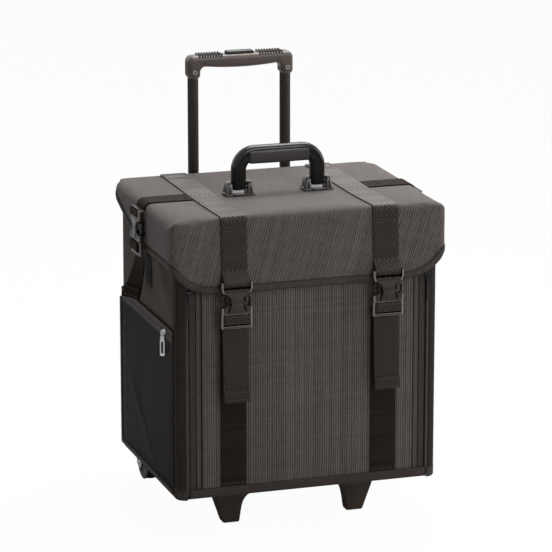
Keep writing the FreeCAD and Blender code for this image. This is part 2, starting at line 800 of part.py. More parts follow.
def plug(name):
    """Pronged half: a ladder for the webbing, a guide tongue and two sprung prongs."""
    def layer(thick):
        return tuple("(%s %s - buckle_thick) / 2" % (way, thick) for way in "-+")
    right = [("buckle_half - plug_taper", "-plug_tall"), ("buckle_half", "-plug_shoulder"),
             ("buckle_half", "-buckle_gap")]
    left = [("-(%s)" % across, height) for across, height in right[::-1]]
    frame = prism(name + "_frame", "XZ", left + right, "plug_thick")
    soften(frame, "plug_round", level_edges(1, ["-plug_thick"]))
    place(frame, y="(plug_thick - buckle_thick) / 2")
    slots = []
    for count in (0, 1):
        low = "%d * (ladder_bar + ladder_slot) + ladder_bar - plug_tall" % count
        slots.append(block("%s_slot_%d" % (name, count),
                           ("-strap_width / 2 - ladder_slack", "strap_width / 2 + ladder_slack"),
                           ("-buckle_thick", "0"), (low, low + " + ladder_slot")))
    prongs = [block(name + "_tongue", ("-tongue_half", "tongue_half"), layer("tongue_thick"),
                    ("-prong_root", "tongue_tall"))]
    for side, sign in SIDES:
        for part, reach, low in (("prong", "prong_out", "-prong_root"),
                                 ("tip", "prong_tip_out", "prong_tip_low")):
            near, far = "%d * prong_in" % sign, "%d * %s" % (sign, reach)
            wide = (far, near) if sign < 0 else (near, far)
            prongs.append(block("%s_%s_%s" % (name, side, part), wide, layer("prong_thick"),
                                (low, "prong_tall")))
    return join(name, [cut(name + "_ladder", frame, slots)] + prongs)


def tail(name, length):
    """Webbing folded over the plug's lowest bar: a short end behind and the free tail in front."""
    clear = "(plug_thick / 2 + tail_gap)"
    front, back = "-buckle_thick / 2 - " + clear, "-buckle_thick / 2 + " + clear
    over_bar, stop, low = "ladder_bar + tail_gap - plug_tall", "-plug_tall - tail_back", "-(%s)" % length
    return prism(name, "YZ", [
        (front, low), (front, over_bar), (back, over_bar), (back, stop), (back + " + webbing", stop),
        (back + " + webbing", over_bar + " + webbing"), (front + " - webbing", over_bar + " + webbing"),
        (front + " - webbing", low)], "strap_width")


def at_buckle(thing, spot, shift=0):
    """Set a buckle piece on the front or on a side of the case."""
    where, sign = spot
    if where == "front":
        place(thing, "%d * strap_spread + %s" % (sign, shift), LID_FRONT + " - webbing - buckle_gap",
              "front_mouth")
        return
    turn(thing, ALONG_Z, 90 * sign)
    place(thing, "%d * (lid_width / 2 + webbing + buckle_gap)" % sign,
          "cross_strap_y + %d * (%s)" % (sign, shift), "side_mouth")


def buckles():
    for where in ("front", "side"):
        sockets = []
        for side, sign in SIDES:
            half = socket("%s_%s_socket" % (where, side))
            at_buckle(half, (where, sign))
            sockets.append(half)
            prefix = "front_%s" % side if where == "front" else "%s_side" % side
            pronged = plug(prefix + "_prongs")
            at_buckle(pronged, (where, sign))
            node(pronged, prefix + "_plug")
            strip = tail(prefix + "_strip", where + "_tail")
            at_buckle(strip, (where, sign), "-strap_width / 2")
            node(strip, prefix + "_tail")
        group(where + "_sockets", sockets)


def sewn_straps():
    """Webbing sewn to the front panel and the short anchors on the sides."""
    front, anchors = [], []
    for side, sign in SIDES:
        wide = tuple("%d * strap_spread %s strap_width / 2" % (sign, way) for way in "-+")
        front.append(block(side + "_base_strap", wide, ("case_front - webbing", "case_front"),
                           ("base_height + panel_lift", "stiff_panel_top - strap_stop")))
        inner, outer = "%d * %s" % (sign, HALF), "%d * (%s + webbing)" % (sign, HALF)
        wide = (outer, inner) if sign < 0 else (inner, outer)
        deep = ("cross_strap_y - anchor_half", "cross_strap_y + anchor_half")
        anchors.append(block(side + "_anchor", wide, deep, ("anchor_low", "anchor_high")))
    group("front_base_straps", front)
    group("side_anchor_straps", anchors)


def hinge_tape():
    strip = block("hinge_strip", ("-seam_half", "seam_half"), (BACK, BACK + " + hinge_tape"),
                  ("outer_high + hinge_rise", "lid_top - lid_board + hinge_lap"))
    node(strip, "lid_hinge_tape")


# Zips and mesh pockets

def upright_zips():
    """Each front zip is two tapes with half a coil: one on the case, one on the panel."""
    for label, way, high in (("case_zip_tapes", 1, "soft_panel_top - zip_stop"),
                             ("panel_zip_tapes", -1, "stiff_panel_top")):
        tapes = []
        for side, sign in SIDES:
            edge = "seam_half + snug" if way > 0 else "seam_half - seam_gap"
            strips = []
            for part, reach, deep in (("tape", "tape_wide", ("case_front - tape", "case_front")),
                                      ("coil", "coil_wide", ("case_front - tape - coil", "case_front - tape"))):
                ends = ["%d * (%s)" % (sign, edge), "%d * (%s + %d * %s)" % (sign, edge, way, reach)]
                wide = tuple(ends if sign * way > 0 else ends[::-1])
                strips.append(block("%s_%s_%s" % (side, label, part), wide, deep,
                                    ("base_height + zip_lift", high)))
            tapes.append(join("%s_%s" % (side, label), strips))
        group(label, tapes)


def mesh_pockets():
    front, back = "case_front + pocket_inset", BACK + " - pocket_inset"
    low, high = "base_height + zip_lift", "pocket_zip_z - pocket_zip_half"
    nets, zips = [], []
    spots = [(front, low), (back, low), (back, high), (front, high)]
    for side, sign in SIDES:
        net = prism(side + "_net", "YZ", spots, "pocket_thick")
        soften(net, "pocket_round", corner_edges(ALONG_X, spots[:2]))
        place(net, "%d * (%s + pocket_thick / 2) - pocket_thick / 2" % (sign, HALF))
        nets.append(net)
        strips = []
        for part, reach, tall in (("tape", "pocket_tape", "pocket_zip_half"),
                                  ("coil", "pocket_coil", "pocket_coil_half")):
            inner, outer = "%d * %s" % (sign, HALF), "%d * (%s + %s)" % (sign, HALF, reach)
            wide = (outer, inner) if sign < 0 else (inner, outer)
            strips.append(block("%s_pocket_%s" % (side, part), wide, (front, back),
                                ("pocket_zip_z - " + tall, "pocket_zip_z + " + tall)))
        zips.append(join(side + "_pocket_zip", strips))
    group("mesh_pockets", nets)
    group("pocket_zips", zips)


def zip_slider(name):
    """A slider with a bar for its pull, drawn with its back at y = 0 and facing -Y."""
    pieces = [block(name + "_plate", ("-slider_half", "slider_half"), ("-slider_plate", "0"),
                    ("-slider_half_tall", "slider_half_tall")),
              rod(name + "_bar", "x", ("-slider_bar_out", "0"), "slider_bar",
                  ("-slider_post_out", "slider_post_out"))]
    for side, wide in (("left", ("-slider_post_out", "-slider_post_in")),
                       ("right", ("slider_post_in", "slider_post_out"))):
        pieces.append(block("%s_%s_post" % (name, side), wide, ("-slider_post_deep", "-slider_plate"),
                            ("-slider_post_half", "slider_post_half")))
    return join(name, pieces)


def zip_pull(name):
    """A hanging tab with an eye round the slider's bar."""
    centre, half = ("-slider_bar_out", "0"), ("-pull_stem_half", "pull_stem_half")
    eye = rod(name + "_eye", "x", centre, "pull_eye", half)
    front, back = "-slider_bar_out - pull_sheet / 2", "-slider_bar_out + pull_sheet / 2"
    stem = block(name + "_stem", half, (front, back), ("-pull_stem_low", "-slider_bar"))
    ends = [("-pull_tab_half", "-pull_tab_low"), ("pull_tab_half", "-pull_tab_low")]
    tab = prism(name + "_tab", "XZ", [("-pull_stem_half", "-pull_neck"), ("-pull_tab_half", "-pull_tab_high")]
                + ends + [("pull_tab_half", "-pull_tab_high"), ("pull_stem_half", "-pull_neck")], "pull_sheet")
    soften(tab, "pull_tab_round", corner_edges(ALONG_Y, ends))
    place(tab, y=back)
    bore = rod(name + "_eye_bore", "x", centre, "slider_bar + running", ("-slider_half", "slider_half"))
    return cut(name, join(name + "_blank", [eye, stem, tab]), [bore])


def sliders():
    for side, sign in SIDES:
        for make, label in ((zip_slider, "slider"), (zip_pull, "pull")):
            piece = make("%s_pocket_%s_solid" % (side, label))
            turn(piece, ALONG_Z, 90 * sign)
            place(piece, "%d * (%s + pocket_coil + slider_gap)" % (sign, HALF), "pocket_slider_y",
                  "pocket_zip_z")
            node(piece, "%s_pocket_%s" % (side, label))
            piece = make("%s_front_%s_solid" % (side, label))
            place(piece, "%d * seam_half" % sign, "case_front - tape - coil - slider_gap", "front_slider_z")
            node(piece, "%s_front_%s" % (side, label))


# Carry handle

def carry_handle():
    bar_low = "handle_top - handle_bar"
    outer, inner = "handle_leg_x + handle_leg / 2", "handle_leg_x - handle_leg / 2"
    tops = [("-(%s)" % outer, "handle_top"), (outer, "handle_top")]
    insides = [(inner, bar_low), ("-(%s)" % inner, bar_low)]
    arch = prism("handle_arch", "XZ", [("-(%s)" % outer, HANDLE_PIVOT_Z)] + tops
                 + [(outer, HANDLE_PIVOT_Z), (inner, HANDLE_PIVOT_Z)] + insides
                 + [("-(%s)" % inner, HANDLE_PIVOT_Z)], "handle_depth")
    soften(arch, "handle_round", corner_edges(ALONG_Y, tops))
    soften(arch, "handle_inner_round", corner_edges(ALONG_Y, insides))
    place(arch, y="handle_y + handle_depth / 2")
    pieces, bores = [arch], []
    for side, sign in SIDES:
        centre = ("handle_y", HANDLE_PIVOT_Z)
        wide = tuple("%d * handle_leg_x %s handle_leg / 2" % (sign, way) for way in "-+")
        pieces.append(rod(side + "_leg_end", "x", centre, "handle_depth / 2", wide))
        bores.append(rod(side + "_leg_bore", "x", centre, "handle_pin + running",
                         tuple("%d * handle_leg_x %s handle_leg" % (sign, way) for way in "-+")))
    node(cut("handle_moulding", join("handle_blank", pieces), bores), "handle_shell")
    waves = [("-grip_half", bar_low), ("-grip_half", bar_low + " - grip_drop / 2")]
    for count in range(GRIP_RIPPLES):
        crest = "grip_drop" if count % 2 else "grip_drop + grip_ripple"
        along = (2 * count + 1 - GRIP_RIPPLES) / GRIP_RIPPLES
        waves.append(("grip_half * %s" % along, "%s - (%s)" % (bar_low, crest)))
    waves += [("grip_half", bar_low + " - grip_drop / 2"), ("grip_half", bar_low)]
    pad = prism("grip_pad", "XZ", waves, "handle_depth - 2 * grip_inset")
    place(pad, y="handle_y + handle_depth / 2 - grip_inset")
    node(pad, "handle_grip")


def handle_brackets():
    """A plate with two lugs each side of the lid, a pin through each leg and rivets."""
    plates, pins, rivets = [], [], []
    top = "lid_top + bracket_plate"
    gap = "handle_leg / 2 + leg_gap"
    for side, sign in SIDES:
        def across(low, high):
            return ("%d * handle_leg_x + %s" % (sign, low), "%d * handle_leg_x + %s" % (sign, high))
        pieces = [block(side + "_foot_plate", across("-bracket_half", "bracket_half"),
                        ("handle_y - bracket_deep", "handle_y + bracket_deep"), ("lid_top", top))]
        for name, low, high in (("near", gap, gap + " + lug_thick"),
                                ("far", "-(%s) - lug_thick" % gap, "-(%s)" % gap)):
            wide, lug = across("(%s)" % low, "(%s)" % high), "%s_%s_lug" % (side, name)
            pieces.append(block(lug, wide, ("handle_y - lug_half", "handle_y + lug_half"),
                                ("lid_top + bracket_plate / 2", HANDLE_PIVOT_Z)))
            pieces.append(rod(lug + "_top", "x", ("handle_y", HANDLE_PIVOT_Z), "lug_half", wide))
        span = across("-(%s) - lug_thick" % gap, gap + " + lug_thick")
        bore = rod(side + "_lug_bore", "x", ("handle_y", HANDLE_PIVOT_Z), "handle_pin + press_gap", span)
        plates.append(cut(side + "_bracket", join(side + "_bracket_blank", pieces), [bore]))
        pins.append(rod(side + "_handle_pin", "x", ("handle_y", HANDLE_PIVOT_Z), "handle_pin", span))
        for way in (-1, 1):
            spot = ("%d * handle_leg_x + %d * (bracket_half - rivet_inset)" % (sign, way), "handle_y")
            heights = (top, top + " + rivet_tall")
            rivets.append(rod("%s_rivet_%d" % (side, way + 1), "z", spot, "rivet", heights))
    group("handle_brackets", plates)
    group("handle_pins", pins)
    group("bracket_rivets", rivets)


base_board()
for side_name, side_sign in SIDES:
    side_panel(side_name, side_sign)
back_panel()
lining()
front_panel()
wheels()
front_feet()
pull_handle()
case_screws()
lid_shell()
lid_lining()
lid_straps()
buckles()
sewn_straps()
hinge_tape()
upright_zips()
mesh_pockets()
sliders()
carry_handle()
handle_brackets()
doc.recompute()

for thing in doc.Objects:
    if "Invalid" in thing.State or "Error" in thing.State:
        raise RuntimeError("%s failed: %s" % (thing.Label, thing.State))
for part in nodes:
    if part.Shape.isNull() or not part.Shape.isValid():
        raise RuntimeError("%s has no valid shape" % part.Label)
    if not part.Shape.Solids:
        raise RuntimeError("%s holds no solid" % part.Label)

os.makedirs("parts", exist_ok=True)
whole = FreeCAD.BoundBox()
for part in nodes:
    part.Shape.exportStep("parts/%s.step" % part.Label)
    whole.add(part.Shape.BoundBox)
print("%d sub-parts" % len(nodes), whole)
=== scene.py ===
"""Cloth, webbing, buckles, handles and wheels of a rolling makeup case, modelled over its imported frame."""

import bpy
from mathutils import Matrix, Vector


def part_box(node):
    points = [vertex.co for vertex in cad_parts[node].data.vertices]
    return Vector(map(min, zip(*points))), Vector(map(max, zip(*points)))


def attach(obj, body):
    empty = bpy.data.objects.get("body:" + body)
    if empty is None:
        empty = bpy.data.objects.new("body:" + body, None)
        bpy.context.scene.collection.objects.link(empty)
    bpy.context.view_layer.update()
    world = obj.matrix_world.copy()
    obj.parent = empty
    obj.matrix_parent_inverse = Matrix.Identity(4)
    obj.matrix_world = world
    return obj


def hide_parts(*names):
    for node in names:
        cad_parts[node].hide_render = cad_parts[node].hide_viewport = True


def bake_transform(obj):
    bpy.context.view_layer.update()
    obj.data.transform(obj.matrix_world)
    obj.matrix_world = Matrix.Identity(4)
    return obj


bl_info = {
    "name": "Rolling Makeup Case",
    "version": (1, 0, 0),
    "blender": (4, 5, 0),
    "location": "3D View > Sidebar > Makeup Case",
    "description": "Models the cloth, webbing, buckles, handles and wheels of a rolling makeup case",
    "category": "Add Mesh",
}

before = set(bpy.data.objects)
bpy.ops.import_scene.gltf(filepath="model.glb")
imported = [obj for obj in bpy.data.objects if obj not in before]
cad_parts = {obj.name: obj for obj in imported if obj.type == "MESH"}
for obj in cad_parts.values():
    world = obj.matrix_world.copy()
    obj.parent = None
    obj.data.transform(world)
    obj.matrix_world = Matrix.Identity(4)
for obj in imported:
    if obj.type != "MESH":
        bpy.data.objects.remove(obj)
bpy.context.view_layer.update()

import math
from contextlib import contextmanager
from itertools import accumulate, pairwise

import bmesh
import bpy
from bpy.props import FloatProperty, FloatVectorProperty, PointerProperty
from mathutils import Matrix, Vector

SIDES = (("left", -1), ("right", 1))
RIGHT, BACK, UP = Vector((1, 0, 0)), Vector((0, 1, 0)), Vector((0, 0, 1))
QUARTER = math.pi / 2
X, Y, Z = range(3)


def span(node, axis):
    """How long a solid is along an axis."""
    low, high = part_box(node)
    return high[axis] - low[axis]


def halfway(node, axis):
    """The middle of a solid along an axis."""
    low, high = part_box(node)
    return (low[axis] + high[axis]) / 2


LID_LOW, LID_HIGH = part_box("lid_shell")
BODY_LOW, BODY_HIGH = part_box("left_side_panel")[0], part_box("right_side_panel")[1]
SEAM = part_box("front_panel")[1].x
STRAP_THICK = span("front_base_straps", Y)
STRAP_WIDE = span("front_left_tail", X)
FRONT_STRAP_X = halfway("front_right_plug", X)
SIDE_STRAP_Y = halfway("right_side_plug", Y)
ZIP_LINE = sum(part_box("pocket_zips"), Vector()).z / 2
STITCH_ROW = 0.016  # half of a row of stitches across a strap
STITCH_EDGE = 0.0165  # from the middle of a strap to the row of stitches along its edge
SOFT_ANGLE = 60  # degrees up to which cloth and cords are shaded smooth
THREAD_OFF = 0.0002  # how far stitches stand off what they are sewn to
UNDER_STRAP = STRAP_WIDE / 2 + 0.003  # half of the strip of cloth that a strap holds down


def length(name, description, default):
    return FloatProperty(name=name, description=description, default=default, min=0, unit="LENGTH")


def angle(name, description, degrees):
    return FloatProperty(name=name, description=description, default=math.radians(degrees), subtype="ANGLE")


def tint(name, description, default):
    return FloatVectorProperty(
        name=name, description=description, default=default, subtype="COLOR", size=3, min=0, max=1)


def watts(name, description, default):
    return FloatProperty(name=name, description=description, default=default, min=0)


class CaseSizes(bpy.types.PropertyGroup):
    """Sizes of the sewn and moulded details."""
    lid_corner: length("Lid corner", "Plan radius of the lid's front corners", 0.009)
    lid_rear: length("Lid rear corner", "Plan radius of the lid's back corners", 0.031)
    lid_fold: length("Lid fold", "Radius of the soft fold along the lid's side edges", 0.010)
    front_fold: length("Front fold", "Radius of the lid's fold above the flap", 0.0055)
    flap_lean: length("Flap lean", "How far the fold above the flap sits back between the corners", 0.0055)
    flap_crown: length("Flap crown", "How far that fold stands up between the corners", 0.0040)
    crown_reach: length("Crown reach", "How far behind the flap the lid's top is level again", 0.130)
    lid_skin: length("Lid skin", "Thickness of the padded lid", 0.006)
    skirt_low: length("Skirt height", "Height of the lid's side hem above the floor", 0.398)
    skirt_top: length("Skirt top", "Height that the side hem reaches at the hinge", 0.450)
    skirt_sweep: length("Skirt sweep", "How far from the back the side hem starts to climb", 0.160)
    flap_straight: length("Flap straight", "Half of the straight part of the flap's hem", 0.120)
    panel_skin: length("Panel skin", "Thickness of the padded panels", 0.005)
    front_corner: length("Front corner", "Plan radius of the case's front corners", 0.013)
    rear_corner: length("Rear corner", "Plan radius of the case's back corners", 0.025)
    base_rim: length("Base rim", "Height of the black edge round the base", 0.0125)
    puff: length("Puff", "How far padding may lift the cloth between its seams", 0.0026)
    binding: length("Binding", "Width of the tape sewn over a cut edge", 0.0075)
    tape: length("Zip tape", "Width of the flat tape beside a front zip", 0.0100)
    edging: length("Panel edging", "Width of the tape that binds the front panel's edge", 0.0075)
    stitch: length("Stitch", "Length of one stitch", 0.0030)
    stitch_gap: length("Stitch gap", "Gap between two stitches", 0.0014)
    thread: length("Thread", "Thickness of the sewing thread", 0.0007)
    # The cords that this sizes are painted shade lines along the lid's binding
    shade_cord: length("Shade cord", "Radius of the cord in a rolled seam", 0.0009)
    rolled: length("Rolled edge", "Radius of the rolled cloth beside the front zips", 0.0016)
    hem: length("Tail hem", "Length folded back at the end of a strap", 0.017)
    tooth: length("Zip tooth", "Distance from one zip tooth to the next", 0.0019)
    net_slack: length("Net slack", "How far the side nets bulge", 0.0030)
    net_border: length("Net border", "Width of the tape round the side nets", 0.006)


class CaseColours(bpy.types.PropertyGroup):
    """Colours of the finishes."""
    woven: tint("Woven cloth", "Charcoal cloth of the panels and the lid", (0.096, 0.083, 0.076))
    # A darker, warmer copy of the woven cloth: part of that darkness is painted shade of the sides
    side: tint("Side cloth painted darker", "Smoother cloth of the sides and the back", (0.082, 0.066, 0.059))
    webbing: tint("Webbing", "Straps", (0.0240, 0.0186, 0.0150))
    # Colour of a painted sheen: the straps' floats take it only where they face up
    webbing_painted_sheen: tint("Webbing sheen", "Worn floats of the straps on the lid", (0.165, 0.147, 0.136))
    # The same webbing with no painted sheen
    dark_webbing: tint("Dark webbing", "Straps across the lid and down the front", (0.0230, 0.0175, 0.0140))
    binding: tint("Binding", "Ribbed tape over the cut edges", (0.060, 0.050, 0.045))
    tape: tint("Tape", "Zip tape", (0.050, 0.041, 0.036))
    net: tint("Net", "Side pocket net", (0.020, 0.017, 0.015))
    lining: tint("Lining", "Cloth inside the case", (0.030, 0.028, 0.027))
    plastic: tint("Plastic", "Buckles and feet", (0.0215, 0.0160, 0.0128))
    gloss: tint("Gloss plastic", "Carry handle and its brackets", (0.014, 0.013, 0.012))
    # Partly painted reflection: lighter than the dark plastic, standing in for the light that it reflects
    pull: tint("Pull grip painted lighter", "Grip of the pull handle", (0.100, 0.081, 0.070))
    grip: tint("Soft grip", "Pad under the carry handle", (0.018, 0.0142, 0.012))
    tube: tint("Tubes", "Pull handle tubes", (0.040, 0.033, 0.029))
    steel: tint("Steel", "Screws, pins and zip pulls", (0.55, 0.55, 0.56))
    tyre: tint("Tyre", "Rubber of the wheels", (0.018, 0.018, 0.018))
    thread: tint("Thread", "Sewing thread", (0.036, 0.031, 0.027))


class CaseStage(bpy.types.PropertyGroup):
    """Camera and lights."""
    azimuth: angle("Azimuth", "Camera's turn from the front", -18.13)
    elevation: angle("Elevation", "Camera's height above level", 14.34)
    distance: length("Distance", "From the camera to the case", 4.75026)
    aside: length("Aside", "Camera's shift to its right", 0.00304)
    height: length("Height", "Height that the camera looks at", 0.33619)
    lens: FloatProperty(name="Lens", description="Focal length in millimetres", default=214.34)
    top_light: watts("Top light", "Overhead light in watts", 63)
    front_light: watts("Front light", "Front fill in watts", 11.5)
    right_light: watts("Right light", "Light on the right in watts", 8)
    room_light: FloatProperty(name="Room light", description="Light from all round", default=0.09, min=0)


def sizes():
    return bpy.context.scene.case_sizes


# Selecting, editing and finishing

def clear_selection():
    if bpy.context.object and bpy.context.object.mode != "OBJECT":
        bpy.ops.object.mode_set(mode="OBJECT")
    bpy.ops.object.select_all(action="DESELECT")


def activate(piece):
    clear_selection()
    piece.select_set(True)
    bpy.context.view_layer.objects.active = piece


def settle(name):
    """Name the active piece and put its place into its mesh."""
    piece = bpy.context.object
    bpy.ops.object.transform_apply(location=True, rotation=True, scale=True)
    piece.name = piece.data.name = name
    return piece


@contextmanager
def editing(piece):
    activate(piece)
    bpy.ops.object.mode_set(mode="EDIT")
    yield
    bpy.ops.object.mode_set(mode="OBJECT")


def pick(piece, kind, test):
    """In edit mode, select only the corners, edges or faces that pass a test."""
    bpy.ops.mesh.select_mode(type=kind)
    bpy.ops.mesh.select_all(action="DESELECT")
    shape = bmesh.from_edit_mesh(piece.data)
    shape.normal_update()
    for part in {"VERT": shape.verts, "EDGE": shape.edges, "FACE": shape.faces}[kind]:
        if test(part):
            part.select_set(True)
    shape.select_flush_mode()
    bmesh.update_edit_mesh(piece.data)


def runs_along(axis):
    """A test for the edges that run along X, Y or Z."""
    def test(edge):
        way = edge.verts[1].co - edge.verts[0].co
        return abs(way[axis]) > 0.9 * way.length
    return test


def edge_middle(edge):
    return (edge.verts[0].co + edge.verts[1].co) / 2


def pick_all():
    bpy.ops.mesh.select_all(action="SELECT")


def stretch(shares, about):
    """In edit mode, scale what is picked about a point."""
    bpy.ops.transform.resize(value=shares, center_override=about)


def extrude(way):
    """In edit mode, draw what is picked out along a way."""
    bpy.ops.mesh.extrude_region_move(TRANSFORM_OT_translate={"value": way})


def slice_at(place, way):
    """In edit mode, cut edges all round where a plane crosses."""
    pick_all()
    bpy.ops.mesh.bisect(plane_co=place, plane_no=way)


def bevel_picked(width, segments, **settings):
    """In edit mode, round the picked edges."""
    bpy.ops.mesh.bevel(offset=width, segments=segments, affect="EDGES", **settings)


def modify(piece, kind, **settings):
    """Add one modifier and apply it."""
    activate(piece)
    modifier = piece.modifiers.new(kind.title(), kind)
    for key, value in settings.items():
        setattr(modifier, key, value)
    bpy.ops.object.modifier_apply(modifier=modifier.name)
    return piece


def round_edges(piece, width, segments, sharper_than=35):
    modify(piece, "BEVEL", width=width, segments=segments, limit_method="ANGLE",
           angle_limit=math.radians(sharper_than), use_clamp_overlap=True)


def cut_away(piece, *tools):
    for tool in tools:
        modify(piece, "BOOLEAN", operation="DIFFERENCE", object=tool, solver="EXACT")
        bpy.data.objects.remove(tool)


def smooth(piece, degrees=38):
    activate(piece)
    bpy.ops.object.shade_smooth_by_angle(angle=math.radians(degrees))
    return piece


def close_seams(piece):
    with editing(piece):
        pick_all()
        bpy.ops.mesh.remove_doubles(threshold=1e-5)
        bpy.ops.mesh.normals_make_consistent(inside=False)


def join(name, *pieces):
    activate(pieces[0])
    for piece in pieces[1:]:
        piece.select_set(True)
    bpy.ops.object.join()
    return settle(name)


def copied(name, model, place):
    """A copy of a piece with its own mesh, moved to another place."""
    piece = model.copy()
    piece.data = model.data.copy()
    bpy.context.collection.objects.link(piece)
    piece.name = piece.data.name = name
    piece.data.transform(place)
    return piece


def repeated(name, model, places):
    """One mesh with a copy of a small model at each place; the model goes."""
    shape = bmesh.new()
    for place in places:
        copy = model.data.copy()
        copy.transform(place)
        shape.from_mesh(copy)
        bpy.data.meshes.remove(copy)
    shape.to_mesh(model.data)
    shape.free()
    model.name = model.data.name = name


def dress(piece, finish, body, slot, *nodes):
    """Give a piece its finish, the body that carries it and the solids that it stands for."""
    piece.data.materials.clear()
    piece.data.materials.append(bpy.data.materials[finish])
    if body:
        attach(piece, body)
    if nodes:
        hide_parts(*nodes)


# Starting shapes

def block(name, low, high):
    """A box between two corners."""
    clear_selection()
    low, high = Vector(low), Vector(high)
    bpy.ops.mesh.primitive_cube_add(size=1, location=(low + high) / 2, scale=high - low)
    return settle(name)


def plate(name, centre, wide, deep):
    """A level rectangle."""
    clear_selection()
    bpy.ops.mesh.primitive_plane_add(size=1, location=centre)
    stretch((wide, deep, 1), centre)
    return settle(name)


def rod(name, centre, axis, radius, long, sides):
    """A round bar along an axis."""
    clear_selection()
    turn = Vector(axis).to_track_quat("Z", "Y").to_euler()
    bpy.ops.mesh.primitive_cylinder_add(
        vertices=sides, radius=radius, depth=long, location=centre, rotation=turn)
    return settle(name)


def along_lengths(points):
    return [0, *accumulate((b - a).length for a, b in pairwise(points))]


def route(corners, radius, step):
    """Points about a step apart along straight runs with rounded corners."""
    corners = [Vector(corner) for corner in corners]
    last = len(corners) - 1
    rounds = radius if isinstance(radius, tuple) else (radius,) * (last - 1)
    line = [corners[0]]
    for i, (before, corner, after) in enumerate(zip(corners, corners[1:], corners[2:])):
        back, ahead = (before - corner).normalized(), (after - corner).normalized()
        half = back.angle(ahead) / 2
        reach = min(rounds[i] / math.tan(half), (before - corner).length / (2 if i else 1),
                    (after - corner).length / (2 if i + 2 < last else 1))
        middle = corner + (back + ahead).normalized() * reach / math.cos(half)
        start, end = corner + back * reach - middle, corner + ahead * reach - middle
        steps = max(3, round(start.angle(end) * start.length / step))
        line += [middle + start.normalized().slerp(end.normalized(), k / steps) * start.length
                 for k in range(steps + 1)]
    line.append(corners[-1])
    filled = [line[0]]
    for a, b in pairwise(line):
        if (b - a).length > 1e-6:
            pieces = max(1, round((b - a).length / step))
            filled += [a.lerp(b, (i + 1) / pieces) for i in range(pieces)]
    return filled


def straight(start, end, step):
    """Points about a step apart from one place to another."""
    return route([start, end], 0, step)


def loft(name, rows):
    """A sheet through rows of points, with a UV map in metres."""
    across, along = len(rows[0]) - 1, len(rows) - 1
    clear_selection()
    bpy.ops.mesh.primitive_grid_add(x_subdivisions=across, y_subdivisions=along, size=2)
    piece = settle(name)
    mesh = piece.data
    spots = [(round((v.co.x + 1) * across / 2), round((v.co.y + 1) * along / 2)) for v in mesh.vertices]
    u, v = along_lengths(rows[along // 2]), along_lengths([row[across // 2] for row in rows])
    for vertex, (column, row) in zip(mesh.vertices, spots):
        vertex.co = rows[row][column]
    for loop, corner in zip(mesh.loops, mesh.uv_layers.active.data):
        column, row = spots[loop.vertex_index]
        corner.uv = (u[column], v[row])
    return piece


def skin(name, rows, thick, offset=0):
    """A sheet through rows of points, given a thickness."""
    return modify(loft(name, rows), "SOLIDIFY", thickness=thick, offset=offset)


def strap(name, line, across, width=STRAP_WIDE, thick=STRAP_THICK):
    """Webbing laid along a line, its width along one direction or along one for each point."""
    columns = 6
    ways = across if isinstance(across, list) else [across] * len(line)
    shares = [i / columns - 0.5 for i in range(columns + 1)]
    rows = [[point + way * width * share for share in shares] for point, way in zip(line, ways)]
    piece = skin(name, rows, thick)
    round_edges(piece, thick * 0.3, 2, SOFT_ANGLE)
    return smooth(piece)


def tube(name, points, radius, closed=False):
    """A round cord through points, made a mesh."""
    curve = bpy.data.curves.new(name, "CURVE")
    curve.dimensions, curve.bevel_depth, curve.bevel_resolution = "3D", radius, 3
    curve.use_fill_caps = True
    spline = curve.splines.new("POLY")
    spline.points.add(len(points) - 1)
    for spot, point in zip(spline.points, points):
        spot.co = (*point, 1)
    spline.use_cyclic_u = closed
    piece = bpy.data.objects.new(name, curve)
    bpy.context.collection.objects.link(piece)
    activate(piece)
    bpy.ops.object.convert(target="MESH")
    return smooth(settle(name), SOFT_ANGLE)


def side_map(piece):
    """A UV map in metres, each face laid flat along the side that it faces."""
    mesh = piece.data
    layer = mesh.uv_layers.active or mesh.uv_layers.new(name="UVMap")
    for face in mesh.polygons:
        facing = max(range(3), key=lambda axis: abs(face.normal[axis]))
        u, v = ((1, 2), (0, 2), (0, 1))[facing]
        for corner in face.loop_indices:
            place = mesh.vertices[mesh.loops[corner].vertex_index].co
            layer.data[corner].uv = (place[u], place[v])


def paint_facing_light(piece, axis, least, power=3):
    """Store how strongly a cloth's threads show, as painted light and shade: fully where it faces along an
    axis, least elsewhere.
    """
    layer = piece.data.attributes.new("painted_facing_light", "FLOAT", "POINT")
    for vertex, level in zip(piece.data.vertices, layer.data):
        level.value = least + (1 - least) * abs(vertex.normal[axis]) ** power
    return piece


def mark_edge_highlights(piece):
    """Mark the narrow faces of the rounded edges, which the finish paints paler: a painted highlight, with a
    little wear from handling.
    """
    widest, square = 0.0013, 0.985
    layer = piece.data.attributes.new("edge_highlight_and_wear", "FLOAT", "FACE")
    for face, level in zip(piece.data.polygons, layer.data):
        corners = [piece.data.vertices[i].co for i in face.vertices]
        longest = max((a - b).length for a, b in zip(corners, corners[1:] + corners[:1]))
        tilted = max(abs(part) for part in face.normal) < square
        level.value = 1.0 if tilted and face.area / longest < widest and longest > 2 * widest else 0.0
    return piece


CLOTH_PRESSURE, CLOTH_QUALITY, CLOTH_STEPS = 3.0, 6, 20


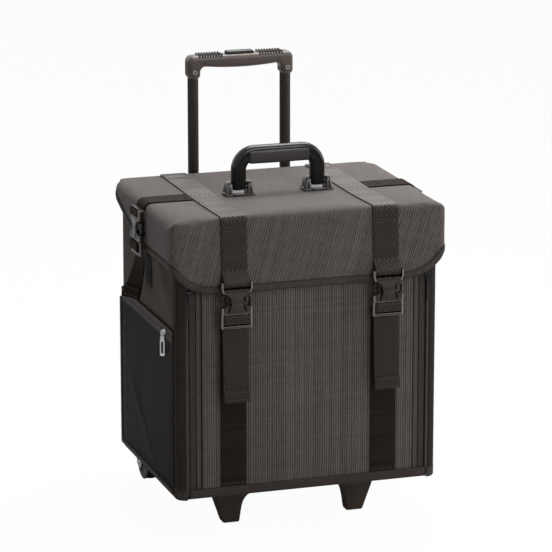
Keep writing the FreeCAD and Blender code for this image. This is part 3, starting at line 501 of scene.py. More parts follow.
def puff_out(piece, held):
    """Blow a cloth skin out a little where no seam or strap holds it."""
    scene, mesh, limit = bpy.context.scene, piece.data, sizes().puff
    rest = [vertex.co.copy() for vertex in mesh.vertices]
    pinned = piece.vertex_groups.new(name="held")
    pinned.add([vertex.index for vertex in mesh.vertices if held(vertex.co)], 1, "REPLACE")
    activate(piece)
    cloth = piece.modifiers.new("Cloth", "CLOTH")
    cloth.settings.quality = CLOTH_QUALITY
    cloth.settings.vertex_group_mass = pinned.name
    cloth.settings.use_pressure = True
    cloth.settings.uniform_pressure_force = CLOTH_PRESSURE
    cloth.settings.effector_weights.gravity = 0
    cloth.point_cache.frame_start, cloth.point_cache.frame_end = 1, CLOTH_STEPS
    for step in range(CLOTH_STEPS):
        scene.frame_set(step + 1)
    bpy.ops.object.modifier_apply(modifier=cloth.name)
    scene.frame_set(1)
    for vertex, place in zip(mesh.vertices, rest):
        moved = vertex.co - place
        vertex.co = place + moved * min(1, limit / max(moved.length, 1e-9))
    piece.vertex_groups.clear()


def row(start, end, facing):
    """A straight row of stitches on cloth that faces one way."""
    return [Vector(start), Vector(end)], facing


def sewn_rows(name, lines, body):
    """Stitches along lines; each line has its points and the way that the cloth faces."""
    size = sizes()
    stitch = block(name, (-size.stitch / 2, -size.thread / 2, -size.thread / 2),
                   (size.stitch / 2, size.thread / 2, size.thread / 2))
    round_edges(stitch, size.thread * 0.35, 1)
    pitch, places = size.stitch + size.stitch_gap, []
    for points, facing in lines:
        reach = along_lengths(points)
        for i in range(int(reach[-1] / pitch)):
            wanted = (i + 0.5) * pitch
            k = max(j for j in range(len(reach) - 1) if reach[j] <= wanted)
            run = points[k + 1] - points[k]
            out = facing[k] if isinstance(facing, list) else facing
            way = run.normalized()
            turn = Matrix((way, out.cross(way), out)).transposed().to_4x4()
            spot = points[k] + way * (wanted - reach[k])
            places.append(Matrix.Translation(spot) @ turn)
    repeated(name, stitch, places)
    dress(smooth(stitch), "Thread", body, "webbing")


# Finishes

def put(tree, kind, inputs=None, **settings):
    """Add a node, set it and link its inputs."""
    node = tree.nodes.new(kind)
    for key, value in settings.items():
        setattr(node, key, value)
    for key, value in (inputs or {}).items():
        if isinstance(value, bpy.types.NodeSocket):
            tree.links.new(value, node.inputs[key])
        else:
            node.inputs[key].default_value = value
    return node


def calc(tree, operation, *values):
    """A Math node's result."""
    return put(tree, "ShaderNodeMath", dict(enumerate(values)), operation=operation).outputs[0]


def shared_effect(name, inputs, outputs):
    """A new node group with named sockets; returns its tree, its input node and its output node."""
    tree = bpy.data.node_groups.new(name, "ShaderNodeTree")
    for kind, sockets in (("INPUT", inputs), ("OUTPUT", outputs)):
        for label in sockets:
            shape = "NodeSocketVector" if label == "Vector" else "NodeSocketFloat"
            tree.interface.new_socket(label, in_out=kind, socket_type=shape)
    return tree, tree.nodes.new("NodeGroupInput"), tree.nodes.new("NodeGroupOutput")


def give_out(tree, result, **values):
    """Link values to a group's outputs."""
    for label, value in values.items():
        tree.links.new(value, result.inputs[label])


def in_pitches(tree, source):
    """The input vector counted in pitches, as X and Y."""
    scale = calc(tree, "DIVIDE", 1.0, source.outputs["Pitch"])
    scaled = put(tree, "ShaderNodeVectorMath", {0: source.outputs["Vector"], "Scale": scale},
                 operation="SCALE")
    parts = put(tree, "ShaderNodeSeparateXYZ", {0: scaled.outputs[0]})
    return parts.outputs[0], parts.outputs[1]


def ridge(tree, value):
    """Round ridges, one for each whole number."""
    return calc(tree, "ABSOLUTE", calc(tree, "SINE", calc(tree, "MULTIPLY", value, math.pi)))


def thread_tone(tree, value):
    """A shade from 0 to 1 for each whole number, so that no two threads match."""
    whole = calc(tree, "FLOOR", value)
    return put(tree, "ShaderNodeTexWhiteNoise", {"W": whole}, noise_dimensions="1D").outputs[0]


def plain_weave():
    """Threads that pass over and under each other, each with its own shade, in soft upright streaks."""
    tree, source, result = shared_effect("Plain Weave", ("Vector", "Pitch"), ("Height", "Tone"))
    x, y = in_pitches(tree, source)
    squares = calc(tree, "ADD", calc(tree, "FLOOR", x), calc(tree, "FLOOR", y))
    over = calc(tree, "FLOORED_MODULO", squares, 2.0)
    warp, weft = ridge(tree, x), ridge(tree, y)
    height = calc(tree, "MULTIPLY_ADD", over, calc(tree, "SUBTRACT", weft, warp), warp)
    wide, tall = calc(tree, "MULTIPLY", x, 0.45), calc(tree, "MULTIPLY", y, 0.12)
    stretched = put(tree, "ShaderNodeCombineXYZ", {0: wide, 1: tall}).outputs[0]
    streaks = put(tree, "ShaderNodeTexNoise", {"Vector": stretched, "Scale": 1.0, "Detail": 2.0})
    tone = calc(tree, "MULTIPLY", streaks.outputs[0], 0.20)
    for way, rib_share, thread_share in ((x, 0.40, 0.15), (y, 0.06, 0.06)):
        rib = ridge(tree, calc(tree, "MULTIPLY", way, 0.5))
        tone = calc(tree, "MULTIPLY_ADD", rib, rib_share, tone)
        tone = calc(tree, "MULTIPLY_ADD", thread_tone(tree, way), thread_share, tone)
    give_out(tree, result, Height=height, Tone=tone)


def strap_ribs():
    """Webbing: ribs along the strap, each a row of short floats set against its neighbours."""
    tree, source, result = shared_effect("Strap Ribs", ("Vector", "Pitch"), ("Height", "Tone"))
    x, y = in_pitches(tree, source)
    step = calc(tree, "MULTIPLY", calc(tree, "FLOORED_MODULO", calc(tree, "FLOOR", x), 2.0), 0.5)
    along = calc(tree, "ADD", calc(tree, "MULTIPLY", y, 0.42), step)
    floats = calc(tree, "MULTIPLY", ridge(tree, x), ridge(tree, along))
    tone = calc(tree, "MULTIPLY_ADD", thread_tone(tree, along), 0.35, calc(tree, "MULTIPLY", floats, 0.65))
    give_out(tree, result, Height=floats, Tone=tone)


def net_cells():
    """Round holes in staggered rows; the threads between them are 1."""
    tree, source, result = shared_effect("Net Cells", ("Vector", "Pitch"), ("Thread", "Height"))
    x, y = in_pitches(tree, source)
    y = calc(tree, "MULTIPLY", y, 1.155)
    shift = calc(tree, "MULTIPLY", calc(tree, "FLOORED_MODULO", calc(tree, "FLOOR", y), 2.0), 0.5)
    aside = calc(tree, "SUBTRACT", calc(tree, "FRACT", calc(tree, "ADD", x, shift)), 0.5)
    above = calc(tree, "SUBTRACT", calc(tree, "FRACT", y), 0.5)
    squared = calc(tree, "ADD", calc(tree, "MULTIPLY", aside, aside), calc(tree, "MULTIPLY", above, above))
    away = calc(tree, "SQRT", squared)
    hole = 0.36
    give_out(tree, result, Thread=calc(tree, "GREATER_THAN", away, hole), Height=away)


def handling_marks():
    """Soft clouds from handling and a fine surface grain."""
    tree, source, result = shared_effect("Handling Marks", ("Vector", "Pitch"), ("Clouds", "Grain"))
    vector, grains = source.outputs["Vector"], 24.0
    scale = calc(tree, "DIVIDE", 1.0, source.outputs["Pitch"])
    fine = calc(tree, "MULTIPLY", scale, grains)
    clouds = put(tree, "ShaderNodeTexNoise", {"Vector": vector, "Scale": scale, "Detail": 3.0})
    grain = put(tree, "ShaderNodeTexNoise", {"Vector": vector, "Scale": fine, "Detail": 1.0})
    give_out(tree, result, Clouds=clouds.outputs[0], Grain=grain.outputs[0])


def effect(tree, name, vector, pitch):
    """Place a shared effect in a material; returns its outputs."""
    node = put(tree, "ShaderNodeGroup", node_tree=bpy.data.node_groups[name])
    tree.links.new(vector, node.inputs["Vector"])
    node.inputs["Pitch"].default_value = pitch
    return node.outputs


def toned(colour, by):
    """A colour made darker or lighter."""
    return tuple(part * by for part in colour)


def shaded(colour, by):
    """The same, with full cover."""
    return (*toned(colour, by), 1)


def blank(name):
    """A new material with its shader and its coordinates."""
    look = bpy.data.materials.new(name)
    look.use_nodes = True
    look.node_tree.nodes.clear()
    shader = put(look.node_tree, "ShaderNodeBsdfPrincipled")
    put(look.node_tree, "ShaderNodeOutputMaterial", {"Surface": shader.outputs[0]})
    return look.node_tree, shader, put(look.node_tree, "ShaderNodeTexCoord")


def mixed(tree, share, low, high):
    """A colour between two."""
    node = put(tree, "ShaderNodeMix", {0: share, 6: low, 7: high}, data_type="RGBA")
    return node.outputs[2]


def spread(tree, value, low, high):
    """A value from 0 to 1, laid out between two others."""
    return put(tree, "ShaderNodeMapRange", {0: value, 3: low, 4: high}).outputs[0]


def bumped(tree, shader, height, strength, deep):
    """Raise a surface by a height, in the light only."""
    bump = put(tree, "ShaderNodeBump", {"Height": height, "Strength": strength, "Distance": deep})
    tree.links.new(bump.outputs[0], shader.inputs["Normal"])


def cloth_finish(name, colour, pattern, pitch, rough, sheen, contrast, deep, shine=0.05, turn=0.0,
                 facing_light_centre=None, bright=None, ends=(0.25, 0.80)):
    """Cloth: a thread pattern whose threads differ in shade, and soft clouds from handling.

    Where a centre is given, the piece's stored facing share draws the threads' shades together about it:
    painted light and shade by the way the piece faces."""
    cloud_pitch, cloud_change, height_share, rough_change = 0.05, 0.10, 0.15, 0.06
    sheen_rough, relief = 0.40, 0.8
    tree, shader, coords = blank(name)
    laid = put(tree, "ShaderNodeMapping", {"Vector": coords.outputs["UV"], "Rotation": (0, 0, turn)})
    threads = effect(tree, pattern, laid.outputs[0], pitch)
    marks = effect(tree, "Handling Marks", coords.outputs["Object"], cloud_pitch)
    share = calc(tree, "MULTIPLY", threads["Tone"], 1 - height_share)
    share = calc(tree, "MULTIPLY_ADD", threads["Height"], height_share, share)
    share = put(tree, "ShaderNodeMapRange", {0: share, 1: ends[0], 2: ends[1]}).outputs[0]
    # Painted light and shade: away from the chosen facing, the threads' shades are drawn to the centre
    if facing_light_centre is not None:
        level = put(tree, "ShaderNodeAttribute", attribute_name="painted_facing_light").outputs["Fac"]
        share = calc(tree, "MULTIPLY_ADD", calc(tree, "SUBTRACT", share, facing_light_centre), level, facing_light_centre)
    thread = mixed(tree, share, shaded(colour, 1 - contrast), shaded(bright or colour, 1 + contrast))
    cloudy = spread(tree, marks["Clouds"], 1 - cloud_change, 1 + cloud_change)
    wear_and_highlight = put(tree, "ShaderNodeHueSaturation", {"Color": thread, "Value": cloudy})
    tree.links.new(wear_and_highlight.outputs[0], shader.inputs["Base Color"])
    uneven = spread(tree, marks["Grain"], rough - rough_change, rough + rough_change)
    tree.links.new(uneven, shader.inputs["Roughness"])
    shader.inputs["Specular IOR Level"].default_value = shine
    shader.inputs["Sheen Weight"].default_value = sheen
    shader.inputs["Sheen Roughness"].default_value = sheen_rough
    bumped(tree, shader, threads["Height"], relief, deep)
    return tree, shader, coords


def moulded_finish(name, colour, rough, grain, metal=0.0, pitch=0.02, shine=0.5, wear_and_highlight=None):
    """Plastic, rubber or metal with fine grain, clouds from handling, uneven gloss and, if given, pale edges:
    a painted highlight, with a little wear.
    """
    cloud_change, rough_change, grain_deep = 0.22, 0.07, 0.0004
    tree, shader, coords = blank(name)
    marks = effect(tree, "Handling Marks", coords.outputs["Object"], pitch)
    shade = mixed(tree, marks["Clouds"], shaded(colour, 1 - cloud_change), shaded(colour, 1 + cloud_change))
    # Painted highlight with a little wear: marked edges take a pale colour that stands in for glints
    if wear_and_highlight:
        edge = put(tree, "ShaderNodeAttribute", attribute_name="edge_highlight_and_wear").outputs["Fac"]
        edge_highlight_share = calc(tree, "MULTIPLY", edge, spread(tree, marks["Grain"], 0.55, 1.0))
        shade = mixed(tree, edge_highlight_share, shade, (*wear_and_highlight, 1))
    tree.links.new(shade, shader.inputs["Base Color"])
    uneven = spread(tree, marks["Clouds"], rough - rough_change, rough + rough_change)
    tree.links.new(uneven, shader.inputs["Roughness"])
    shader.inputs["Metallic"].default_value = metal
    shader.inputs["Specular IOR Level"].default_value = shine
    bumped(tree, shader, marks["Grain"], grain, grain_deep)


NET_HEM = 0.243  # from here to its back edge the net is folded double and has no clear holes


def make_finishes():
    colour = bpy.context.scene.case_colours
    for make in (plain_weave, strap_ribs, net_cells, handling_marks):
        make()
    # Webbing carries a painted sheen: bright floats only where a strap faces up
    webbing = {"shine": 0.16, "facing_light_centre": 0.0, "bright": colour.webbing_painted_sheen, "ends": (0.34, 0.66)}
    for name, tone, pattern, pitch, rough, sheen, contrast, deep, more in (
            ("Woven", colour.woven, "Plain Weave", 0.0017, 0.66, 0.10, 0.90, 0.0004, {}),
            # The side cloth is darker than the woven cloth, partly as painted shade
            ("Side cloth painted darker", colour.side, "Plain Weave", 0.0016, 0.62, 0.0, 0.18, 0.0002, {"shine": 0.03}),
            # Lid cloth carries painted thread shading, strongest where the lid faces front
            ("Lid cloth", colour.woven, "Plain Weave", 0.0017, 0.66, 0.20, 0.90, 0.0003,
             {"turn": math.radians(16), "facing_light_centre": 0.5}),
            ("Webbing", colour.webbing, "Strap Ribs", 0.0034, 0.42, 0.0, 0.20, 0.0008, webbing),
            # Dark webbing is the same webbing with no painted sheen
            ("Dark webbing", colour.dark_webbing, "Strap Ribs", 0.0022, 0.50, 0.0, 0.45, 0.0006,
             {"shine": 0.015}),
            ("Binding", colour.binding, "Strap Ribs", 0.0026, 0.55, 0.0, 0.30, 0.0005, {}),
            ("Edging", toned(colour.woven, 0.80), "Plain Weave", 0.0012, 0.60, 0.0, 0.50, 0.0002, {}),
            ("Tape", colour.tape, "Plain Weave", 0.0011, 0.58, 0.0, 0.50, 0.0002, {}),
            # Corner tape: the zip tape darkened, partly as painted shade of the corners
            ("Corner tape", toned(colour.tape, 0.60), "Plain Weave", 0.0013, 0.58, 0.0, 0.50, 0.0002,
             {"shine": 0.02}),
            ("Lining", colour.lining, "Plain Weave", 0.0008, 0.50, 0.10, 0.30, 0.0002, {}),
            ("Net", colour.net, "Plain Weave", 0.0007, 0.60, 0.0, 0.45, 0.0003, {})):
        tree, shader, coords = cloth_finish(name, tone, pattern, pitch, rough, sheen, contrast, deep, **more)

    # The net comes last, and its holes are cut here
    net_pitch = 0.0042
    cells = effect(tree, "Net Cells", coords.outputs["UV"], net_pitch)
    along = put(tree, "ShaderNodeSeparateXYZ", {0: coords.outputs["UV"]}).outputs[0]
    hemmed = calc(tree, "GREATER_THAN", along, NET_HEM)
    tree.links.new(calc(tree, "MAXIMUM", cells["Thread"], hemmed), shader.inputs["Alpha"])

    for name, tone, rough, grain, more in (
            # The pale edge colours below are painted highlights, with a little wear
            ("Plastic", colour.plastic, 0.27, 0.08, {"shine": 0.34, "wear_and_highlight": (0.27, 0.25, 0.235)}),
            ("Gloss plastic", colour.gloss, 0.15, 0.03, {"shine": 0.26, "wear_and_highlight": (0.16, 0.15, 0.145)}),
            # The pull grip's colour is partly painted reflection
            ("Pull grip painted lighter", colour.pull, 0.30, 0.08, {"shine": 0.25}),
            # Painted light: the buckles' black plastic made 3.2 times lighter to offset the shade under the
            # case
            ("Foot plastic painted lighter", toned(colour.plastic, 3.2), 0.55, 0.10, {"shine": 0.15}),
            ("Soft grip", colour.grip, 0.50, 0.10, {}),
            ("Tube", colour.tube, 0.34, 0.03, {"metal": 0.3, "shine": 0.25}),
            ("Steel", colour.steel, 0.28, 0.02, {"metal": 1.0}),
            ("Dark metal", toned(colour.steel, 0.06), 0.36, 0.02, {"metal": 1.0}),
            ("Tyre", colour.tyre, 0.62, 0.25, {}),
            ("Thread", colour.thread, 0.55, 0.10, {"pitch": 0.004})):
        moulded_finish(name, tone, rough, grain, **more)


KEPT_NODES = {
    "Plastic": ("base_board", "wheel_brackets", "trolley_base", "trolley_top_bracket"),
    "Tube": ("outer_tubes", "middle_tubes", "inner_tubes"),
    "Steel": ("wheel_axles", "case_screws", "handle_pins", "bracket_rivets", "push_rods",
              "left_lock_pin", "right_lock_pin"),
}


class MAKEUP_OT_finishes(bpy.types.Operator):
    """Make the finishes and give them to the solids that keep their shape"""
    bl_idname = "makeup.finishes"
    bl_label = "Finishes"

    def execute(self, context):
        make_finishes()
        for finish, nodes in KEPT_NODES.items():
            for node in nodes:
                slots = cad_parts[node].data.materials
                slots.clear()
                slots.append(bpy.data.materials[finish])
        return {"FINISHED"}


# Padded body panels

def arch(share):
    """From 0 up to 1 and back to 0 as a share goes from 0 to 1."""
    return math.sin(math.pi * share)


def hill(distance, reach):
    """From 1 down to nothing as a distance grows past a reach."""
    return math.exp(-(distance / reach) ** 2)


def within(value):
    """A value kept between 0 and 1."""
    return min(1, max(0, value))


def padded_panel(name, outline, low, high, crown):
    """A panel from plan points and their outward directions, fuller in the middle."""
    levels = round((high - low) / 0.006)
    ends = len(outline) - 1
    rows = []
    for i in range(levels + 1):
        v = i / levels
        rows.append([])
        for k, (point, out) in enumerate(outline):
            lift = crown * (math.sin(math.pi * k / ends) * arch(v)) ** 0.7
            rows[-1].append(Vector((point.x, point.y, low + (high - low) * v)) + out * lift)
    return loft(name, rows)


def directions(points):
    """The way along a line at each of its points."""
    ways = [(b - a).normalized() for a, b in pairwise(points)]
    return [ways[0]] + [(a + b).normalized() for a, b in pairwise(ways)] + [ways[-1]]


def with_outward(points):
    """Plan points paired with the direction to the right of the way along them."""
    return [(point, Vector((way.y, -way.x, 0))) for point, way in zip(points, directions(points))]


def side_fold(place):
    """How far a side's cloth stands out along the soft fold from the buckle to the front corner."""
    top, foot, corner = Vector((-0.040, 0.398)), Vector((-0.150, 0.312)), -0.144
    ridge_high, ridge_wide, hollow_deep, hollow_wide, hollow_ahead = 0.0020, 0.020, 0.0018, 0.016, 0.034
    way, here = (foot - top).normalized(), Vector((place.y, place.z)) - top
    along, ahead = here.dot(way), here.x * way.y - here.y * way.x
    off_corner = within((place.y - corner) / 0.016)
    past_ends = max(0, along - 0.10, 0.02 - along)
    height = ridge_high * hill(ahead, ridge_wide) - hollow_deep * hill(ahead - hollow_ahead, hollow_wide)
    return off_corner * hill(past_ends, 0.03) * height


class MAKEUP_OT_side_panels(bpy.types.Operator):
    """Padded cloth sides that turn the four upright corners"""
    bl_idname = "makeup.side_panels"
    bl_label = "Side panels"

    def execute(self, context):
        size = sizes()
        for side, sign in SIDES:
            rear_seam = BODY_HIGH.x - size.rear_corner
            corners = [(sign * (SEAM + 0.0024), BODY_LOW.y, 0), (sign * BODY_HIGH.x, BODY_LOW.y, 0),
                       (sign * BODY_HIGH.x, BODY_HIGH.y, 0), (sign * rear_seam, BODY_HIGH.y, 0)]
            line = route(corners, (size.front_corner, size.rear_corner), 0.005)
            piece = padded_panel(side + "_side_cloth", with_outward(line if sign > 0 else line[::-1]),
                                 BODY_LOW.z, BODY_HIGH.z, 0.0012)
            for vertex in piece.data.vertices:
                vertex.co.x += sign * side_fold(vertex.co)
            modify(piece, "SOLIDIFY", thickness=size.panel_skin, offset=-1)
            round_edges(piece, 0.0015, 2, SOFT_ANGLE)
            dress(smooth(piece), "Side cloth painted darker", "case", "woven_fabric", side + "_side_panel")
        return {"FINISHED"}


class MAKEUP_OT_back_panel(bpy.types.Operator):
    """Padded cloth back behind the pull handle"""
    bl_idname = "makeup.back_panel"
    bl_label = "Back panel"

    def execute(self, context):
        low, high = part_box("back_panel")
        wide = BODY_HIGH.x - sizes().rear_corner
        line = straight((wide, high.y, 0), (-wide, high.y, 0), 0.006)
        piece = padded_panel("back_cloth", with_outward(line), low.z, high.z, 0)
        modify(piece, "SOLIDIFY", thickness=high.y - low.y, offset=-1)
        round_edges(piece, 0.001, 2, SOFT_ANGLE)
        dress(smooth(piece), "Side cloth painted darker", "case", "woven_fabric", "back_panel")
        return {"FINISHED"}


class MAKEUP_OT_base_rim(bpy.types.Operator):
    """Black edge round the base, under the cloth"""
    bl_idname = "makeup.base_rim"
    bl_label = "Base rim"

    def execute(self, context):
        size = sizes()
        proud, tuck, lip = 0.0012, 0.003, 0.0008
        half, front, back = BODY_HIGH.x, BODY_LOW.y, BODY_HIGH.y
        foot = BODY_LOW.z - proud
        tall = BODY_LOW.z + size.base_rim - foot
        corners = [(-SEAM - tuck, front, 0), (-half, front, 0), (-half, back, 0), (half, back, 0),
                   (half, front, 0), (SEAM + tuck, front, 0)]
        rounds = (size.front_corner, size.rear_corner, size.rear_corner, size.front_corner)
        line = with_outward(route(corners, rounds, 0.005)[::-1])
        section = [(-tuck, 0), (proud * 0.6, 0), (proud, lip), (proud, tall / 2), (proud, tall - lip),
                   (proud * 0.5, tall), (-0.001, tall)]
        rows = [[p + out * a + UP * (foot + b) for a, b in section] for p, out in line]
        piece = skin("base_rim", rows, 0.0012, -1)
        dress(smooth(piece, SOFT_ANGLE), "Tape", "case", "webbing")
        piece = block("base_front_edge", (-SEAM - tuck, front - 0.0001, foot),
                      (SEAM + tuck, front + 0.004, foot + 0.0022))
        round_edges(piece, 0.0007, 2)
        dress(smooth(piece), "Plastic", "case", "black_plastic")
        return {"FINISHED"}


class MAKEUP_OT_inside_lining(bpy.types.Operator):
    """Cloth bag that lines the case, open at the top and the front"""
    bl_idname = "makeup.inside_lining"
    bl_label = "Inside lining"

    def execute(self, context):
        low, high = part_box("lining")
        piece = block("inside_lining", low, high)
        with editing(piece):
            pick(piece, "FACE", lambda face: face.normal.z > 0.5 or face.normal.y < -0.5)
            bpy.ops.mesh.delete(type="FACE")
            for axis in (X, Y, Z):
                pick(piece, "EDGE", runs_along(axis))
                bpy.ops.mesh.subdivide(number_cuts=12)
        middle, ripples, slack = (low + high) / 2, (60, 70, 45), 0.003
        for vertex in piece.data.vertices:
            wave = math.prod(math.sin(part * ripple) for part, ripple in zip(vertex.co, ripples))
            vertex.co = vertex.co.lerp(middle, slack + slack * wave)
        side_map(piece)
        modify(piece, "SOLIDIFY", thickness=0.001, offset=0)
        dress(smooth(piece), "Lining", "case", "lining_cloth", "lining")
        return {"FINISHED"}


class MAKEUP_OT_front_panel(bpy.types.Operator):
    """Padded front that drops open, held flat under the two sewn straps"""
    bl_idname = "makeup.front_panel"
    bl_label = "Front panel"

    def execute(self, context):
        size = sizes()
        low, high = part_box("front_panel")
        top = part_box("front_panel_top")[1].z
        half, hem = SEAM - size.tape - size.edging - 0.0014, 0.0115
        line = straight((-half, low.y, 0), (half, low.y, 0), 0.005)
        piece = padded_panel("front_cloth", with_outward(line), low.z, top, 0)
        puff_out(piece, lambda p: (abs(p.x) > half - 0.004 or not low.z + hem < p.z < top - 0.006
                                   or abs(abs(p.x) - FRONT_STRAP_X) < UNDER_STRAP))
        modify(piece, "SOLIDIFY", thickness=high.y - low.y, offset=-1)
        round_edges(piece, 0.0018, 3, SOFT_ANGLE)
        dress(smooth(piece), "Woven", "front_panel", "woven_fabric", "front_panel", "front_panel_top")
        y, z = low.y - 0.0008, low.z + hem / 2
        piece = strap("front_hem", straight((-SEAM, y, z), (SEAM, y, z), 0.006), UP, hem, 0.0034)
        dress(piece, "Tape", "front_panel", "webbing")
        return {"FINISHED"}


# Lid

def lid_hem(place):
    """Height of the lid's lower edge at a place on its wall."""
    size, flap_curve, skirt_curve = sizes(), 3.4, 1.25
    past = max(0, abs(place.x) - size.flap_straight) / (LID_HIGH.x - size.flap_straight)
    flap = LID_LOW.z + (size.skirt_low - LID_LOW.z) * past ** flap_curve
    rise = max(0, place.y - LID_HIGH.y + size.skirt_sweep) / size.skirt_sweep
    skirt = size.skirt_low + (size.skirt_top - size.skirt_low) * min(1, rise) ** skirt_curve
    in_front = place.y < LID_LOW.y + size.lid_corner
    return min(flap, size.skirt_low) if in_front else skirt


def round_corner(a, b, radius):
    """Move a point, given by its distances inside two edges, as their square corner becomes round."""
    if a >= radius or b >= radius:
        return a, b
    a, b = radius - a, radius - b
    pull = max(a, b) / math.hypot(a, b)
    return radius - a * pull, radius - b * pull


def on_lid(place):
    """Move a point of the lid's plain box to its place on the rounded, hemmed lid."""
    size, sag_deep, sag_reach, corner_wide = sizes(), 0.0022, 0.035, 0.03
    half, front, top = LID_HIGH.x, LID_LOW.y, LID_HIGH.z
    sign = 1 if place.x >= 0 else -1
    inset_x, inset_y, drop = half - abs(place.x), place.y - front, top - place.z
    inset = min(inset_x, inset_y)
    toward_front = within((inset_x - inset_y) / corner_wide + 0.5)
    fold = size.lid_fold + (size.front_fold - size.lid_fold) * toward_front
    if inset < fold and drop < fold:
        folded, drop = round_corner(inset, drop, fold)
        if inset_x <= inset_y:
            inset_x = folded
        if inset_y <= inset_x or inset == inset_y:
            inset_y = folded
    rear = LID_HIGH.y - front - inset_y
    inset_x, inset_y = round_corner(inset_x, inset_y, size.lid_corner)
    inset_x, rear = round_corner(inset_x, rear, size.lid_rear)
    y = front + inset_y if inset_y < 0.1 else LID_HIGH.y - rear
    sag = sag_deep * within((y - LID_HIGH.y + sag_reach) / sag_reach) ** 2
    moved = Vector((sign * (half - inset_x), y, top - drop - (sag if drop < fold else 0)))
    if drop > fold:
        hem = lid_hem(moved)
        share = (drop - fold) / (top - LID_LOW.z - fold)
        moved.z = (top - fold) + (hem - top + fold) * share
    return moved


def bowed(place):
    """Where a point on the lid goes as the fold above the flap bows back and up between the corners."""
    size = sizes()
    between = 1 - min(1, abs(place.x) / LID_HIGH.x) ** 4
    near = 1 - within((place.y - LID_LOW.y) / size.crown_reach)
    up = within((place.z - LID_LOW.z) / (LID_HIGH.z - LID_LOW.z))
    return place + Vector((0, size.flap_lean, size.flap_crown)) * between * near ** 1.5 * up


def under_lid_strap(place):
    """Whether webbing or the carry handle's brackets hold the lid's cloth down here."""
    strap_starts, bracket_starts, bracket_ends, bracket_half = 0.126, 0.030, 0.088, 0.020
    x, y = abs(place.x), abs(place.y - SIDE_STRAP_Y)
    lengthways = abs(x - FRONT_STRAP_X) < UNDER_STRAP
    across = y < UNDER_STRAP and x > strap_starts
    bracket = y < bracket_half and bracket_starts < x < bracket_ends
    return lengthways or across or bracket


def lid_edge_line():
    """Points, outward and inward-of-cloth directions along the lid's hem, from hinge to hinge."""
    size, half, front, back = sizes(), LID_HIGH.x, LID_LOW.y, LID_HIGH.y
    tuck = half - size.lid_rear
    corners = [(-tuck, back, 0), (-half, back, 0), (-half, front, 0), (half, front, 0), (half, back, 0),
               (tuck, back, 0)]
    rounds = (size.lid_rear, size.lid_corner, size.lid_corner, size.lid_rear)
    line = with_outward(route(corners, rounds, 0.005))
    points = [Vector((p.x, p.y, lid_hem(p))) for p, out in line]
    return [(p, out, out.cross(way).normalized())
            for p, (_, out), way in zip(points, line, directions(points))]


class MAKEUP_OT_lid_cover(bpy.types.Operator):
    """Padded lid: top, front flap and side skirts, puffed between the straps"""
    bl_idname = "makeup.lid_cover"
    bl_label = "Lid cover"

    def execute(self, context):
        size = sizes()
        piece = block("lid_cover", LID_LOW, LID_HIGH)
        with editing(piece):
            pick(piece, "FACE", lambda face: face.normal.y > 0.5 or face.normal.z < -0.5)
            bpy.ops.mesh.delete(type="FACE")
            for axis, cuts in ((X, 80), (Y, 61), (Z, 25)):
                pick(piece, "EDGE", runs_along(axis))
                bpy.ops.mesh.subdivide(number_cuts=cuts)
        for vertex in piece.data.vertices:
            vertex.co = on_lid(vertex.co)
        puff_out(piece, lambda p: (under_lid_strap(p) or p.z < lid_hem(p) + 0.010
                                   or p.y > LID_HIGH.y - 0.008))
        side_map(piece)
        outside = len(piece.data.vertices)
        modify(piece, "SOLIDIFY", thickness=size.lid_skin, offset=-1)
        for vertex in piece.data.vertices:
            place = bowed(vertex.co)
            vertex.co = place if vertex.index < outside else (vertex.co.x, vertex.co.y, place.z)
        # Painted thread shading: the weave shows most where the lid faces front
        paint_facing_light(piece, Y, 0.22)
        dress(smooth(piece), "Lid cloth", "lid", "woven_fabric", "lid_shell")
        return {"FINISHED"}


class MAKEUP_OT_lid_trim(bpy.types.Operator):
    """Binding round the lid's hem, dark cords along its edges that paint the shade lines there, and the lid's
    lining
    """
    bl_idname = "makeup.lid_trim"
    bl_label = "Lid trim"

    def execute(self, context):
        size = sizes()
        line = lid_edge_line()
        proud, turn, thick, wide = 0.0005, 0.001, size.lid_skin, size.binding
        inner = -thick - proud
        section = [(proud, wide), (proud, wide / 2), (proud, turn), (-turn, -proud), (-thick / 2, -2 * proud),
                   (turn - thick, -proud), (inner, turn), (inner, wide / 2), (inner, wide)]
        rows = [[p + out * a + into * b for a, b in section] for p, out, into in line]
        dress(smooth(skin("lid_binding", rows, 0.0008), SOFT_ANGLE), "Binding", "lid", "webbing")
        seam = ([p + out * (proud + 0.0006) + into * wide * 0.72 for p, out, into in line],
                [out for p, out, into in line])
        sewn_rows("lid_binding_stitches", [seam], "lid")
        # Painted shade: two dark cords stand in for the shade lines along both edges of the binding
        cords = [tube("upper", [p + into * (wide + 0.0006) for p, out, into in line], size.shade_cord),
                 tube("lower", [p - into * 0.0008 - out * 0.0012 for p, out, into in line], size.shade_cord)]
        dress(join("lid_piping", *cords), "Tape", "lid", "webbing")
        low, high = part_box("lid_lining")
        piece = block("lid_cloth_inside", low, high)
        round_edges(piece, 0.0004, 1)
        side_map(piece)
        dress(piece, "Lining", "lid", "lining_cloth", "lid_lining")
        return {"FINISHED"}


class MAKEUP_OT_hinge_tape(bpy.types.Operator):
    """Woven tape that joins the lid to the back of the case"""
    bl_idname = "makeup.hinge_tape"
    bl_label = "Hinge tape"

    def execute(self, context):
        low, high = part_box("lid_hinge_tape")
        y, top = halfway("lid_hinge_tape", Y), LID_HIGH.z - 0.0036
        line = straight((0, y, low.z), (0, y, top), 0.0012)
        piece = strap("hinge_tape", line, RIGHT, high.x - low.x, high.y - low.y)
        dress(piece, "Tape", None, "webbing", "lid_hinge_tape")
        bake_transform(piece)
        return {"FINISHED"}


# Webbing

LID_LIFT = STRAP_THICK / 2 + THREAD_OFF  # from the lid's cloth to the middle of a strap on it
STRAP_TOP = LID_HIGH.z + LID_LIFT
STITCH_TOP = STRAP_TOP + LID_LIFT


